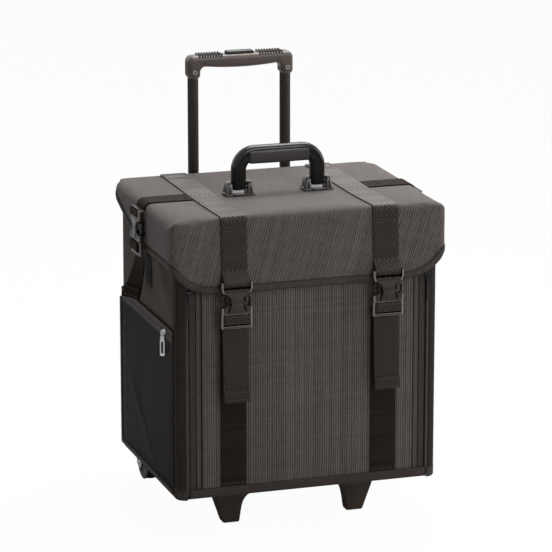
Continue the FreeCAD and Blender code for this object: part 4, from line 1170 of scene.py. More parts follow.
def lid_strap(side, sign):
    """Webbing from the back of the lid over the flap to a front buckle's bar."""
    low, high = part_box("front_sockets")
    bar, loop, back = high.z - 0.004, low.y + 0.0016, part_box("lid_straps")[1].y
    x, front = sign * FRONT_STRAP_X, LID_LOW.y - LID_LIFT
    ahead, sewn_back, sewn_ahead = front - LID_LIFT, 0.132, 0.108
    corners = [(x, back, STRAP_TOP), (x, front, STRAP_TOP), (x, front, bar + 0.016), (x, loop, bar + 0.003),
               (x, loop, bar - 0.003), (x, loop + 0.008, bar - 0.006)]
    piece = strap(side + "_lid_strap", route(corners, 0.006, 0.003), RIGHT)
    for vertex in piece.data.vertices:
        vertex.co = bowed(vertex.co)
    # Painted sheen: the strap's floats are bright only where it lies on the lid's top
    dress(paint_facing_light(piece, Z, 0.035, 6), "Webbing", "lid", "webbing", "lid_straps")
    rows = [row((x - STITCH_ROW, ahead, z), (x + STITCH_ROW, ahead, z), -BACK)
            for z in (0.446, 0.4425, 0.412, 0.4085)]
    rows += [row((x - STITCH_ROW, y, STITCH_TOP), (x + STITCH_ROW, y, STITCH_TOP), UP)
             for y in (sewn_back, sewn_ahead)]
    rows += [row((x + edge, sewn_back, STITCH_TOP), (x + edge, sewn_ahead, STITCH_TOP), UP)
             for edge in (-STITCH_EDGE, STITCH_EDGE)]
    rows = [([bowed(point) for point in points], facing) for points, facing in rows]
    sewn_rows(side + "_lid_strap_stitches", rows, "lid")


def cross_strap(side, sign):
    """Webbing from the lid's top over its side to a side buckle's bar."""
    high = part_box("side_sockets")[1]
    bar, loop, half = high.z - 0.004, high.x - 0.0016, LID_HIGH.x + LID_LIFT
    start, sewn_in, sewn_out = 0.131, 0.135, 0.160
    corners = [(start, STRAP_TOP), (half, STRAP_TOP), (half, bar - 0.0045), (loop, bar - 0.0045),
               (loop, bar + 0.003)]
    line = route([(sign * a, SIDE_STRAP_Y, z) for a, z in corners], (0.0108, 0.0016, 0.0016), 0.0025)
    piece = strap(side + "_cross_strap", line, BACK)
    dress(piece, "Dark webbing", "lid", "webbing", "cross_straps")
    near, far = SIDE_STRAP_Y - STITCH_ROW, SIDE_STRAP_Y + STITCH_ROW
    rows = [row((sign * a, near, STITCH_TOP), (sign * a, far, STITCH_TOP), UP) for a in (sewn_in, sewn_out)]
    near, far = SIDE_STRAP_Y - STITCH_EDGE, SIDE_STRAP_Y + STITCH_EDGE
    rows += [row((sign * sewn_in, y, STITCH_TOP), (sign * sewn_out, y, STITCH_TOP), UP) for y in (near, far)]
    sewn_rows(side + "_cross_strap_stitches", rows, "lid")


class MAKEUP_OT_lid_straps(bpy.types.Operator):
    """Webbing over the lid, lengthways to the front buckles and across to the side buckles"""
    bl_idname = "makeup.lid_straps"
    bl_label = "Lid straps"

    def execute(self, context):
        for side, sign in SIDES:
            lid_strap(side, sign)
            cross_strap(side, sign)
        return {"FINISHED"}


class MAKEUP_OT_sewn_straps(bpy.types.Operator):
    """Webbing sewn flat to the front, and the short anchors on the sides"""
    bl_idname = "makeup.sewn_straps"
    bl_label = "Sewn straps"

    def execute(self, context):
        low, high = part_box("front_base_straps")
        anchor_low, anchor_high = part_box("side_anchor_straps")
        y, ahead = halfway("front_base_straps", Y), low.y - THREAD_OFF
        anchor_foot, anchor_row = anchor_low.z + 0.036, 0.012
        for side, sign in SIDES:
            x = sign * FRONT_STRAP_X
            piece = strap(side + "_base_strap", straight((x, y, low.z), (x, y, high.z), 0.004), RIGHT)
            dress(piece, "Dark webbing", "front_panel", "webbing", "front_base_straps")
            rows = [row((x - STITCH_ROW, ahead, z), (x + STITCH_ROW, ahead, z), -BACK)
                    for z in (low.z + 0.016, high.z - 0.006, high.z - 0.012)]
            sewn_rows(side + "_base_strap_stitches", rows, "front_panel")

            x = sign * (anchor_high.x - STRAP_THICK / 2)
            line = straight((x, SIDE_STRAP_Y, anchor_foot), (x, SIDE_STRAP_Y, anchor_high.z), 0.004)
            piece = strap(side + "_anchor_strap", line, BACK, anchor_high.y - anchor_low.y)
            dress(piece, "Dark webbing", "case", "webbing", "side_anchor_straps")
            x = sign * (anchor_high.x + THREAD_OFF)
            rows = [row((x, SIDE_STRAP_Y - anchor_row, z), (x, SIDE_STRAP_Y + anchor_row, z), RIGHT * sign)
                    for z in (anchor_foot + 0.004, anchor_foot + 0.016)]
            sewn_rows(side + "_anchor_stitches", rows, "case")
        return {"FINISHED"}


BUCKLES = (("front_left", -1), ("front_right", 1), ("left_side", -1), ("right_side", 1))


class MAKEUP_OT_strap_tails(bpy.types.Operator):
    """Loose strap ends that hang from the buckle plugs, each with a folded hem"""
    bl_idname = "makeup.strap_tails"
    bl_label = "Strap tails"

    def execute(self, context):
        size = sizes()
        for name, sign in BUCKLES:
            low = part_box(name + "_tail")[0]
            in_front = name.startswith("front")
            outward = -BACK if in_front else RIGHT * sign
            across = RIGHT if in_front else BACK
            plug = sum(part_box(name + "_plug"), Vector()) / 2
            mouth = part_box("front_sockets" if in_front else "side_sockets")[0].z
            spot = Vector((plug.x, plug.y, 0))
            behind, bar_drop, steps, hem_steps = 0.0052, 0.0225, 26, 5
            lean, drift, twist, lift = (0.0060, 0.0, 0, 0.006) if in_front else (0.0120, 0.010, 24, 0)
            top, reach = mouth - bar_drop, mouth - bar_drop - low.z - lift

            def hang(drop):
                """Place of the strap's middle at a distance below the plug."""
                share = max(0, drop) / reach
                out = lean * share ** 1.4 - behind
                return spot + outward * out + BACK * drift * share ** 1.3 + UP * (top - drop)

            def facing(drop):
                """Way of the strap's width there; the side straps turn to the front as they hang."""
                turn = math.radians(twist) * max(0, drop) / reach
                return across * math.cos(turn) + outward * math.sin(turn)

            ladder = [(-0.0038, 0.0032), (0.0050, 0.0032), (0.0050, 0.0148), (-behind, 0.0152),
                      (-behind, bar_drop)]
            line = route([spot + outward * out + UP * (mouth - drop) for out, drop in ladder], 0.0017, 0.0012)
            drops = [reach * (i + 1) / steps for i in range(steps)]
            ways = [across] * len(line) + [facing(drop) for drop in drops]
            line += [hang(drop) for drop in drops]
            outer = []
            for i in range(hem_steps + 1):
                drop = reach - size.hem * i / hem_steps
                out = UP.cross(facing(drop))
                outer.append((drop, out if out.dot(outward) > 0 else -out))
            line += [hang(drop) + out * STRAP_THICK * 1.15 for drop, out in outer]
            ways += [facing(drop) for drop, out in outer]
            piece = strap(name + "_strap_tail", line, ways)
            finish = "Webbing" if in_front else "Dark webbing"
            # Painted sheen on the front tails' up-facing parts; the side tails' finish does not read it
            dress(paint_facing_light(piece, Z, 0.0, 6), finish, name + "_buckle", "webbing", name + "_tail")
            rows = []
            for drop, out in (outer[1], outer[-2]):
                place, half = hang(drop) + out * (STRAP_THICK * 1.65 + THREAD_OFF), facing(drop) * STITCH_ROW
                rows.append(row(place - half, place + half, out))
            sewn_rows(name + "_tail_stitches", rows, name + "_buckle")
        return {"FINISHED"}


# Buckles, drawn about the socket's mouth with the back at y = 0

BUCKLE_HALF, BUCKLE_DEEP, STRAP_GAP = 0.0225, 0.011, 0.0196


def buckle_socket():
    """The half with the strap bar: an hourglass plate in front and behind, open at the sides."""
    tall, waist = span("front_sockets", Z), 0.030
    half, deep, gap = BUCKLE_HALF, BUCKLE_DEEP, STRAP_GAP
    centre = (0, -deep / 2, 0)
    piece = block("socket", (-half, -deep, 0), (half, 0, tall))
    with editing(piece):
        for z in (0.006, waist, 0.036):
            slice_at((0, 0, z), UP)
        pick(piece, "VERT", lambda v: v.co.z < 0.001)
        stretch((0.97, 0.94, 1), centre)
        pick(piece, "VERT", lambda v: abs(v.co.z - waist) < 0.001)
        stretch((0.90, 1, 1), centre)
        pick(piece, "EDGE", lambda e: runs_along(Z)(e) and abs(e.verts[0].co.y + deep / 2) > 0.001)
        bevel_picked(0.0022, 3)
    tools = [block("mouth", (-0.0185, -deep + 0.0023, -0.01), (0.0185, -0.0023, 0.0285))]
    for sign in (-1, 1):
        x = sign * 0.0220
        window = rod("window", (x, -deep / 2, 0.0195), BACK, 0.0100, 0.03, 40)
        with editing(window):
            pick_all()
            stretch((1.32, 1, 1), (x, 0, 0))
        tools.append(window)
        x = sign * 0.0130
        groove = block("groove", (x - 0.0014, -0.02, 0.0025), (x + 0.0014, 0.0035 - deep, 0.016))
        with editing(groove):
            pick(groove, "VERT", lambda v: v.co.z > 0.01)
            bpy.ops.transform.translate(value=(-sign * 0.0045, 0, 0))
        tools.append(groove)
    tools.append(block("slot", (-gap, -0.02, 0.0345), (gap, 0.01, 0.0385)))
    tools.append(block("recess", (-gap, -0.02, 0.0375), (gap, -0.0078, tall + 0.01)))
    cut_away(piece, *tools)
    round_edges(piece, 0.0010, 2, 30)
    return smooth(mark_edge_highlights(piece))


def buckle_plug():
    """The half with the ladder for the loose strap and two looped prongs."""
    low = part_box("front_left_plug")[0].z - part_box("front_sockets")[0].z
    half, deep, gap, thick = BUCKLE_HALF, BUCKLE_DEEP, STRAP_GAP, 0.008
    near, far = -(deep - thick) / 2, -(deep + thick) / 2
    piece = block("plug", (-half, far, low), (half, near, -0.0004))
    with editing(piece):
        pick(piece, "EDGE", runs_along(Z))
        bevel_picked(0.0022, 3)
    cut_away(piece, *[block("slot", (-gap, -0.03, foot), (gap, 0.03, top))
                      for foot, top in ((-0.0054, -0.0013), (-0.0178, -0.0118))])
    round_edges(piece, 0.0009, 2, 40)
    tongue = block("tongue", (-0.004, -deep / 2 - 0.002, -0.002), (0.004, -deep / 2 + 0.002, 0.017))
    round_edges(tongue, 0.0009, 2, 40)
    corners = [(0.0125, -0.002), (0.0135, 0.004), (0.0196, 0.0120), (0.0208, 0.0190), (0.0190, 0.0262),
               (0.0138, 0.0268), (0.0122, 0.0215), (0.0140, 0.0165)]
    arms = []
    for sign in (-1, 1):
        arm = tube("arm", route([(sign * x, -deep / 2, z) for x, z in corners], 0.004, 0.0011), 0.0016)
        with editing(arm):
            pick_all()
            stretch((1, 2, 1), (0, -deep / 2, 0))
        arms.append(arm)
    return smooth(mark_edge_highlights(join("plug", piece, tongue, *arms)))


class MAKEUP_OT_buckles(bpy.types.Operator):
    """Side-release buckles on the front and the sides"""
    bl_idname = "makeup.buckles"
    bl_label = "Buckles"

    def execute(self, context):
        socket, plug = buckle_socket(), buckle_plug()
        front_low, front_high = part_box("front_sockets")
        side_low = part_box("side_sockets")[0]
        side_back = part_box("right_side_plug")[1].x - BUCKLE_DEEP
        for name, sign in BUCKLES:
            if name.startswith("front"):
                node = "front_sockets"
                place = Matrix.Translation((sign * FRONT_STRAP_X, front_high.y, front_low.z))
            else:
                node = "side_sockets"
                place = (Matrix.Translation((sign * side_back, SIDE_STRAP_Y, side_low.z))
                         @ Matrix.Rotation(sign * QUARTER, 4, "Z"))
            dress(copied(name + "_socket", socket, place), "Plastic", "lid", "black_plastic", node)
            dress(copied(name + "_plug_moulding", plug, place), "Plastic", name + "_buckle", "black_plastic",
                  name + "_plug")
        for model in (socket, plug):
            bpy.data.objects.remove(model)
        return {"FINISHED"}


# Zips and nets

def zip_teeth(name, start, end, facing):
    """Two rows of teeth on the case that meet along a line."""
    start, end, offset = Vector(start), Vector(end), 0.0007
    pitch, way = sizes().tooth, (end - start).normalized()
    side = facing.cross(way)
    half = Vector((0.0005, 0.0009, 0.0006))
    tooth = block(name, -half, half)
    round_edges(tooth, 0.0003, 1)
    turn = Matrix((way, side, facing)).transposed().to_4x4()
    places = []
    for i in range(int((end - start).length / pitch)):
        spot = start + way * pitch * (i + 0.5) + side * (offset if i % 2 else -offset)
        places.append(Matrix.Translation(spot) @ turn)
    repeated(name, tooth, places)
    dress(smooth(tooth), "Plastic", "case", "zip_tape")


class MAKEUP_OT_front_zips(bpy.types.Operator):
    """Upright zips that close the front to the sides"""
    bl_idname = "makeup.front_zips"
    bl_label = "Front zips"

    def execute(self, context):
        size = sizes()
        face, thick, gap = BODY_LOW.y, 0.0036, 0.0006
        case_low, case_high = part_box("case_zip_tapes")
        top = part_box("front_panel_top")[1].z - 0.002
        recess = face + 0.0012
        tapes = (("zip_tape", size.tape - 0.0010, "Tape"), ("edging", size.edging, "Edging"))
        for side, sign in SIDES:
            start = SEAM - 0.0010
            for part, wide, finish in tapes:
                x, y = sign * (start - wide / 2), recess + thick / 2
                line = straight((x, y, case_low.z), (x, y, top), 0.006)
                piece = strap("%s_front_%s" % (side, part), line, RIGHT, wide, thick)
                dress(piece, finish, "front_panel", "zip_tape", "panel_zip_tapes")
                start -= wide + gap
            x, y = sign * (start + 0.0022), recess - THREAD_OFF
            rows = [row((x, y, case_low.z), (x, y, top), -BACK)]
            sewn_rows(side + "_front_zip_stitches", rows, "front_panel")
            x, y = sign * (SEAM + size.rolled + 0.0008), face + 0.0009
            edge = straight((x, y, case_low.z), (x, y, case_high.z), 0.01)
            piece = tube(side + "_rolled_edge", edge, size.rolled)
            dress(piece, "Woven", "case", "zip_tape", "case_zip_tapes")
            x = sign * SEAM
            zip_teeth(side + "_front_zip_teeth", (x, recess, case_low.z), (x, recess, case_high.z), -BACK)
        return {"FINISHED"}


POCKET_TAPE = 0.0012  # thickness of the tapes round a pocket


def net_place(low, high, sign, u, v):
    """A place on a side's slack net, by shares of its depth and its height."""
    sides = arch(u)
    slack = sizes().net_slack * (sides ** 0.5 * arch(min(1, v * 0.92 + 0.08)) ** 0.8)
    crease = 0.0022 * hill(u - 0.45 - 0.95 * (v - 0.2), 0.055) * arch(v)
    ripple = 0.0005 * math.sin(u * 17 + v * 3) * sides
    x = high.x - 0.0015 + slack + ripple + crease * sides
    return Vector((sign * x, low.y + (high.y - low.y) * u, low.z + (high.z - low.z) * v))


def slack_net(side, sign):
    """A net, cut a little larger than the place that it covers."""
    low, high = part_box("mesh_pockets")
    across, along = 44, 36
    rows = [[net_place(low, high, sign, i / across, j / along) for i in range(across + 1)]
            for j in range(along + 1)]
    piece = skin(side + "_net", rows, 0.0007)
    dress(smooth(piece, SOFT_ANGLE), "Net", "case", "mesh", "mesh_pockets")


def net_binding(side, sign):
    """Tape over the foot and the back edge of a net."""
    low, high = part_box("mesh_pockets")
    wide, x = sizes().net_border, sign * (high.x - 0.0006)
    outer = route([(x, low.y, low.z), (x, high.y, low.z), (x, high.y, high.z)], 0.003, 0.006)
    inner = [Vector((x, min(p.y, high.y - wide), max(p.z, low.z + wide))) for p in outer]
    rows = [[a.lerp(b, k / 3) + RIGHT * sign * 0.0012 for k in range(4)] for a, b in zip(outer, inner)]
    piece = skin(side + "_net_binding", rows, POCKET_TAPE)
    dress(smooth(piece, SOFT_ANGLE), "Tape", "case", "webbing")


def corner_band(side, sign):
    """Tape round a front corner of the case, from the front zip to the net."""
    size, levels, net_front = sizes(), 40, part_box("mesh_pockets")[0].y
    foot, top = BODY_LOW.z + size.base_rim - 0.001, BODY_HIGH.z - 0.004
    corners = [(sign * (SEAM + 0.005), BODY_LOW.y, 0), (sign * BODY_HIGH.x, BODY_LOW.y, 0),
               (sign * BODY_HIGH.x, net_front + 0.004, 0)]
    turn = route(corners, size.front_corner, 0.003)
    turn = with_outward(turn if sign > 0 else turn[::-1])
    rows = [[p + away * 0.0010 + UP * (foot + (top - foot) * k / levels) for p, away in turn]
            for k in range(levels + 1)]
    piece = skin(side + "_corner_band", rows, POCKET_TAPE)
    # Its finish is darker than the zip tape, partly painted shade
    dress(smooth(piece, SOFT_ANGLE), "Corner tape", "case", "webbing")


def pocket_zip(side, sign):
    """Two tapes, the teeth between them and a row of stitches along each."""
    low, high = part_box("mesh_pockets")
    tape_wide, tape_sunk, tape_off, seam_off = 0.0082, 0.0008, 0.0049, 0.0078
    out, x, end = RIGHT * sign, sign * (high.x - tape_sunk), high.y - 0.004
    for part, z in (("lower", ZIP_LINE - tape_off), ("upper", ZIP_LINE + tape_off)):
        line = route([(x, low.y, z), (x, end, z), (x - sign * 0.004, high.y, z)], 0.004, 0.004)
        piece = strap("%s_%s_pocket_tape" % (side, part), line, UP, tape_wide, POCKET_TAPE)
        dress(piece, "Binding", "case", "zip_tape", "pocket_zips")
    zip_teeth(side + "_pocket_teeth", (x, low.y + 0.002, ZIP_LINE), (x, high.y - 0.002, ZIP_LINE), out)
    x += sign * tape_sunk
    rows = [row((x, low.y, z), (x, high.y, z), out) for z in (ZIP_LINE - seam_off, ZIP_LINE + seam_off)]
    sewn_rows(side + "_pocket_stitches", rows, "case")


class MAKEUP_OT_net_pockets(bpy.types.Operator):
    """Slack nets on both sides, bound at their edges and closed by a zip"""
    bl_idname = "makeup.net_pockets"
    bl_label = "Net pockets"

    def execute(self, context):
        for side, sign in SIDES:
            for make in (slack_net, net_binding, corner_band, pocket_zip):
                make(side, sign)
        return {"FINISHED"}


BRIDGE, PULL_RING = 0.0046, 0.0024  # how far a slider's bridge stands out, and the radius of a pull's ring


def zip_slider(back):
    """A slider about its middle: the zip runs along Z, it faces -Y, and its bridge stands out."""
    piece = block("slider", (-0.0038, -0.0021, -0.005), (0.0038, back, 0.005))
    with editing(piece):
        pick(piece, "VERT", lambda v: v.co.z < 0)
        stretch((0.68, 1, 1), (0, 0, 0))
        pick(piece, "FACE", lambda f: f.normal.y < -0.5)
        bpy.ops.mesh.inset(thickness=0.0011, depth=0.0002)
    round_edges(piece, 0.0006, 2)
    line = route([(0, -0.0018, 0.0032), (0, -BRIDGE, 0.0031), (0, -BRIDGE, -0.0028), (0, -0.0018, -0.0032)],
                 0.0014, 0.0006)
    return smooth(join("slider", piece, tube("bridge", line, 0.0007)))


def zip_pull(long, slim):
    """A long looped pull that hangs from a ring at the origin, facing -Y."""
    turns = [k * math.pi / 10 for k in range(20)]
    ring = tube("ring", [Vector((PULL_RING * math.sin(a), -0.0003, -0.0012 - PULL_RING * math.cos(a)))
                         for a in turns], 0.0006, closed=True)
    piece = block("pull", (-0.0036, -0.0010, -long), (0.0036, 0.0006, -0.0032))
    with editing(piece):
        slice_at((0, 0, -long * 0.45), UP)
        pick(piece, "VERT", lambda v: v.co.z > -0.0035)
        stretch((0.62, 1, 1), (0, 0, 0))
        pick(piece, "EDGE", runs_along(Y))
        bevel_picked(0.0018, 4)
    hole = rod("hole", (0, 0, -0.0062), BACK, 0.0013, 0.01, 20)
    window = block("window", (-0.0017, -0.01, -long + 0.004), (0.0017, 0.01, -long * 0.42))
    cut_away(piece, hole, window)
    round_edges(piece, 0.0004, 2)
    piece = join("pull", piece, ring)
    with editing(piece):
        pick_all()
        stretch((slim, 1, 1), (0, 0, 0))
    return smooth(piece)


class MAKEUP_OT_zip_sliders(bpy.types.Operator):
    """Zip sliders with swinging pulls"""
    bl_idname = "makeup.zip_sliders"
    bl_label = "Zip sliders"

    def execute(self, context):
        net_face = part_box("mesh_pockets")[1].x
        for zip_name, back in (("pocket", -0.0011), ("front", 0.0012)):
            slider = zip_slider(back)
            for side, sign in SIDES:
                name = "%s_%s_slider" % (side, zip_name)
                pull_node = "%s_%s_pull" % (side, zip_name)
                low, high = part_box(name)
                pull_low, pull_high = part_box(pull_node)
                middle, hang = (low + high) / 2, (pull_low + pull_high) / 2
                if zip_name == "front":
                    finish, slim = "Dark metal", 0.6
                    face = Vector((middle.x, BODY_LOW.y - 0.0022, middle.z))
                    top = Vector((hang.x, face.y - 0.0048, pull_high.z))
                    along = aside = Matrix.Identity(4)
                else:
                    finish, slim = "Steel", 1.0
                    face = Vector((sign * (net_face - 0.0012), middle.y, ZIP_LINE))
                    top = Vector((face.x + sign * (BRIDGE - 0.0003), hang.y, ZIP_LINE + 0.0002))
                    turn = Matrix.Rotation(sign * QUARTER, 4, "Z")
                    along = turn @ Matrix.Rotation(-sign * QUARTER, 4, "Y")
                    aside = turn @ Matrix.Rotation(-sign * math.radians(48), 4, "Z")
                piece = copied(name + "_body", slider, Matrix.Translation(face) @ along)
                dress(piece, finish, name, "steel", name)
                pull = zip_pull(pull_high.z - pull_low.z, slim)
                piece = copied(pull_node + "_tab", pull, Matrix.Translation(top) @ aside)
                bpy.data.objects.remove(pull)
                dress(piece, finish, pull_node, "steel", pull_node)
            bpy.data.objects.remove(slider)
        return {"FINISHED"}


# Handles

class MAKEUP_OT_carry_handle(bpy.types.Operator):
    """Folding carry handle with a soft pad under its bar"""
    bl_idname = "makeup.carry_handle"
    bl_label = "Carry handle"

    def execute(self, context):
        low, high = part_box("handle_shell")
        y, leg, deep, bar = halfway("handle_shell", Y), 0.021, high.y - low.y, 0.018
        x, bend, foot, toe = high.x - leg / 2, 0.024, low.z + 0.004, 0.005
        turn_at = high.z - bar / 2 - bend
        piece = plate("carry_handle_shell", (-x, y, foot), leg * 0.8, deep * 0.8)
        with editing(piece):
            pick_all()
            bpy.ops.mesh.bevel(offset=0.0045, segments=4, affect="VERTICES")
            extrude((0, 0, toe))
            stretch((1.25, 1.25, 1), (-x, y, foot))
            extrude((0, 0, turn_at - foot - toe))
            bpy.ops.mesh.spin(steps=12, angle=QUARTER, center=(-x + bend, y, turn_at), axis=-BACK)
            for _ in range(10):
                extrude(((x - bend) / 5, 0, 0))
            bpy.ops.mesh.spin(steps=12, angle=QUARTER, center=(x - bend, y, turn_at), axis=-BACK)
            extrude((0, 0, foot + toe - turn_at))
            extrude((0, 0, -toe))
            stretch((0.8, 0.8, 1), (x, y, foot))
        close_seams(piece)
        dress(smooth(piece), "Gloss plastic", "carry_handle", "gloss_plastic", "handle_shell")
        pad_low, pad_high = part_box("handle_grip")
        piece = block("carry_handle_pad", (pad_low.x, low.y - 0.0012, pad_low.z + 0.0030),
                      (pad_high.x, high.y + 0.0012, pad_low.z + 0.0215))
        with editing(piece):
            pick(piece, "EDGE", runs_along(X))
            bpy.ops.mesh.subdivide(number_cuts=31)
        for vertex in piece.data.vertices:
            swell = 1 + 0.10 * math.cos(vertex.co.x * math.pi / 2 / pad_high.x)
            vertex.co.y = y + (vertex.co.y - y) * swell
        round_edges(piece, 0.0088, 7)
        dress(smooth(piece, SOFT_ANGLE), "Soft grip", "carry_handle", "soft_grip", "handle_grip")
        return {"FINISHED"}


class MAKEUP_OT_handle_brackets(bpy.types.Operator):
    """Brackets that hold the carry handle's pivots to the lid"""
    bl_idname = "makeup.handle_brackets"
    bl_label = "Handle brackets"

    def execute(self, context):
        low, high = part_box("handle_brackets")
        y, pivot = halfway("handle_brackets", Y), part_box("handle_shell")[1].x - 0.0105
        wide, gap, lip = 0.0215, 0.0113, 0.0038
        for side, sign in SIDES:
            x = sign * pivot
            parts = [block("foot", (x - wide, low.y, low.z), (x + wide, high.y, low.z + 0.003)),
                     block("lip", (x - gap, low.y - 0.001, low.z), (x + gap, low.y + 0.003, low.z + lip))]
            for way in (-1, 1):
                inner, outer = x + way * gap, x + way * wide
                lug = block("lug", (min(inner, outer), low.y, low.z), (max(inner, outer), high.y, high.z))
                with editing(lug):
                    pick(lug, "VERT", lambda v: v.co.z > high.z - 0.001)
                    stretch((1, 0.70, 1), (x, y, high.z))
                    pick(lug, "VERT", lambda v: v.co.z > high.z - 0.001 and abs(v.co.x - outer) < 0.001)
                    bpy.ops.transform.translate(value=(-way * 0.0035, 0, 0))
                round_edges(lug, 0.0028, 4)
                parts.append(lug)
            for part in parts[:2]:
                round_edges(part, 0.0010, 2)
            piece = mark_edge_highlights(join(side + "_handle_bracket", *parts))
            dress(smooth(piece), "Gloss plastic", "lid", "gloss_plastic", "handle_brackets")
        return {"FINISHED"}


GRIP_HALF, GRIP_INNER, BUTTON_HALF = 0.0805, 0.0620, 0.0205


def grip_moulding(low, high):
    """The grip's bar and its two legs, with a full belly and a well for the button."""
    bar, half, inner, belly, well_gap = 0.0165, GRIP_HALF, GRIP_INNER, 0.0030, 0.0012
    piece = block("pull_grip_moulding", (-half, low.y, high.z - bar), (half, high.y, high.z))
    with editing(piece):
        for x in (-inner, inner):
            slice_at((x, 0, 0), RIGHT)
        pick(piece, "FACE", lambda f: f.normal.z < -0.5 and abs(f.calc_center_median().x) > inner)
        extrude((0, 0, low.z - high.z + bar))
        pick(piece, "EDGE", lambda e: runs_along(Y)(e) and edge_middle(e).z > high.z - 0.001
             and abs(edge_middle(e).x) > inner + 0.01)
        bevel_picked(0.009, 6)
        pick(piece, "EDGE", lambda e: runs_along(Y)(e) and abs(abs(edge_middle(e).x) - inner) < 0.001
             and abs(edge_middle(e).z - high.z + bar) < 0.001)
        bevel_picked(0.008, 6)
        pick(piece, "EDGE", lambda e: runs_along(X)(e) and e.calc_length() > 0.05)
        bpy.ops.mesh.subdivide(number_cuts=14)
    for vertex in piece.data.vertices:
        full = 1 - (vertex.co.x / (inner - 0.008)) ** 2
        if full > 0 and vertex.co.z < high.z - bar + 0.001:
            vertex.co.z -= belly * full
    with editing(piece):
        pick(piece, "EDGE", lambda e: e.calc_face_angle(0) > math.radians(50))
        bevel_picked(0.0060, 5, clamp_overlap=False)
    button_low, button_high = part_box("release_button")
    wide = BUTTON_HALF + well_gap
    cut_away(piece, block("well", (-wide, button_low.y - well_gap, high.z - 0.006),
                          (wide, button_high.y + well_gap, high.z + 0.01)))
    # Its finish is lighter than the plastic: partly painted reflection
    dress(smooth(piece), "Pull grip painted lighter", "inner_stage", "black_plastic", "pull_grip")


def grip_screws(low):
    """A recessed screw in the front of each leg."""
    screws = []
    for sign in (-1, 1):
        place = (sign * (GRIP_HALF + GRIP_INNER) / 2, low.y, low.z + 0.0105)
        screw = rod("screw", place, -BACK, 0.0030, 0.0012, 24)
        with editing(screw):
            pick(screw, "FACE", lambda f: f.normal.y < -0.9)
            bpy.ops.mesh.inset(thickness=0.0009)
            bpy.ops.mesh.inset(thickness=0.0003, depth=-0.0008)
        screws.append(screw)
    dress(smooth(join("pull_grip_screws", *screws)), "Steel", "inner_stage", "steel", "grip_screws")


def grip_ribs(low, high):
    """Ribs across the top of the grip, on both sides of the button."""
    first, pitch, count = 0.0295, 0.0042, 9
    rib = block("pull_grip_ribs", (-0.0009, low.y + 0.0010, high.z - 0.0070),
                (0.0009, high.y - 0.0010, high.z + 0.0021))
    round_edges(rib, 0.0006, 1)
    spots = [sign * (first + i * pitch) for i in range(count) for sign in (-1, 1)]
    repeated("pull_grip_ribs", rib, [Matrix.Translation((x, 0, 0)) for x in spots])
    dress(smooth(rib), "Plastic", "inner_stage", "black_plastic")


def button_cap():
    """The release button, with a shallow dish for the thumb."""
    low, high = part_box("release_button")
    piece = block("release_button_cap", (-BUTTON_HALF, low.y, low.z), (BUTTON_HALF, high.y, high.z))
    with editing(piece):
        pick(piece, "FACE", lambda f: f.normal.z > 0.5)
        bpy.ops.mesh.inset(thickness=0.0030, depth=-0.0004)
    round_edges(piece, 0.0012, 3)
    dress(smooth(piece), "Gloss plastic", "release_button", "gloss_plastic", "release_button")


class MAKEUP_OT_pull_handle(bpy.types.Operator):
    """Ribbed grip on the telescopic tubes, with its release button"""
    bl_idname = "makeup.pull_handle"
    bl_label = "Pull handle"

    def execute(self, context):
        low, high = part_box("pull_grip")
        high.z -= 0.0022  # room for the ribs
        grip_moulding(low, high)
        grip_screws(low)
        grip_ribs(low, high)
        button_cap()
        return {"FINISHED"}


# Running gear

# Height above the floor, reach outwards and inwards, and share of the depth, down a front foot
FOOT_RINGS = (
    (0.0535, 0.0340, 0.0510, 1.0), (0.0510, 0.0320, 0.0490, 0.99), (0.0490, 0.0302, 0.0435, 0.98),
    (0.0468, 0.0284, 0.0368, 0.97), (0.0440, 0.0266, 0.0300, 0.95), (0.0410, 0.0256, 0.0248, 0.93),
    (0.0370, 0.0243, 0.0208, 0.90), (0.0320, 0.0226, 0.0180, 0.86), (0.0280, 0.0212, 0.0166, 0.83),
    (0.0180, 0.0178, 0.0148, 0.75), (0.0060, 0.0140, 0.0134, 0.66), (0.0020, 0.0126, 0.0128, 0.63))


class MAKEUP_OT_front_feet(bpy.types.Operator):
    """Tapered front feet with a flared collar"""
    bl_idname = "makeup.front_feet"
    bl_label = "Front feet"

    def execute(self, context):
        low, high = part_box("front_feet")
        y, deep = halfway("front_feet", Y), (high.y - low.y) / 2
        rings = [(high.z, 0.0345, 0.0510, 1.0), *FOOT_RINGS, (low.z, 0.0112, 0.0120, 0.58)]
        for side, sign in SIDES:
            foot = [(sign * (high.x - 0.022 + (outer - inner) / 2), z, (outer + inner) / 2, deep * share)
                    for z, outer, inner, share in rings]
            x, z, wide, _ = foot[0]
            piece = plate(side + "_front_foot", (x, y, z), wide * 2, deep * 2)
            with editing(piece):
                pick_all()
                bpy.ops.mesh.bevel(offset=0.005, segments=4, affect="VERTICES")
                for (x0, z0, w0, d0), (x1, z1, w1, d1) in pairwise(foot):
                    extrude((x1 - x0, 0, z1 - z0))
                    stretch((w1 / w0, d1 / d0, 1), (x1, y, z1))
            close_seams(piece)
            round_edges(piece, 0.0008, 2, 50)
            # Painted light: the feet take a lightened copy of the black plastic
            dress(smooth(piece), "Foot plastic painted lighter", "case", "black_plastic", "front_feet")
        return {"FINISHED"}


def wheel_sizes(side):
    """Middle of a wheel, radius of its hub and half of the rubber's thickness."""
    low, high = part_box(side + "_tyre")
    hub_radius = span(side + "_wheel", Z) / 2
    return (low + high) / 2, hub_radius, ((high.z - low.z) / 2 - hub_radius) / 2


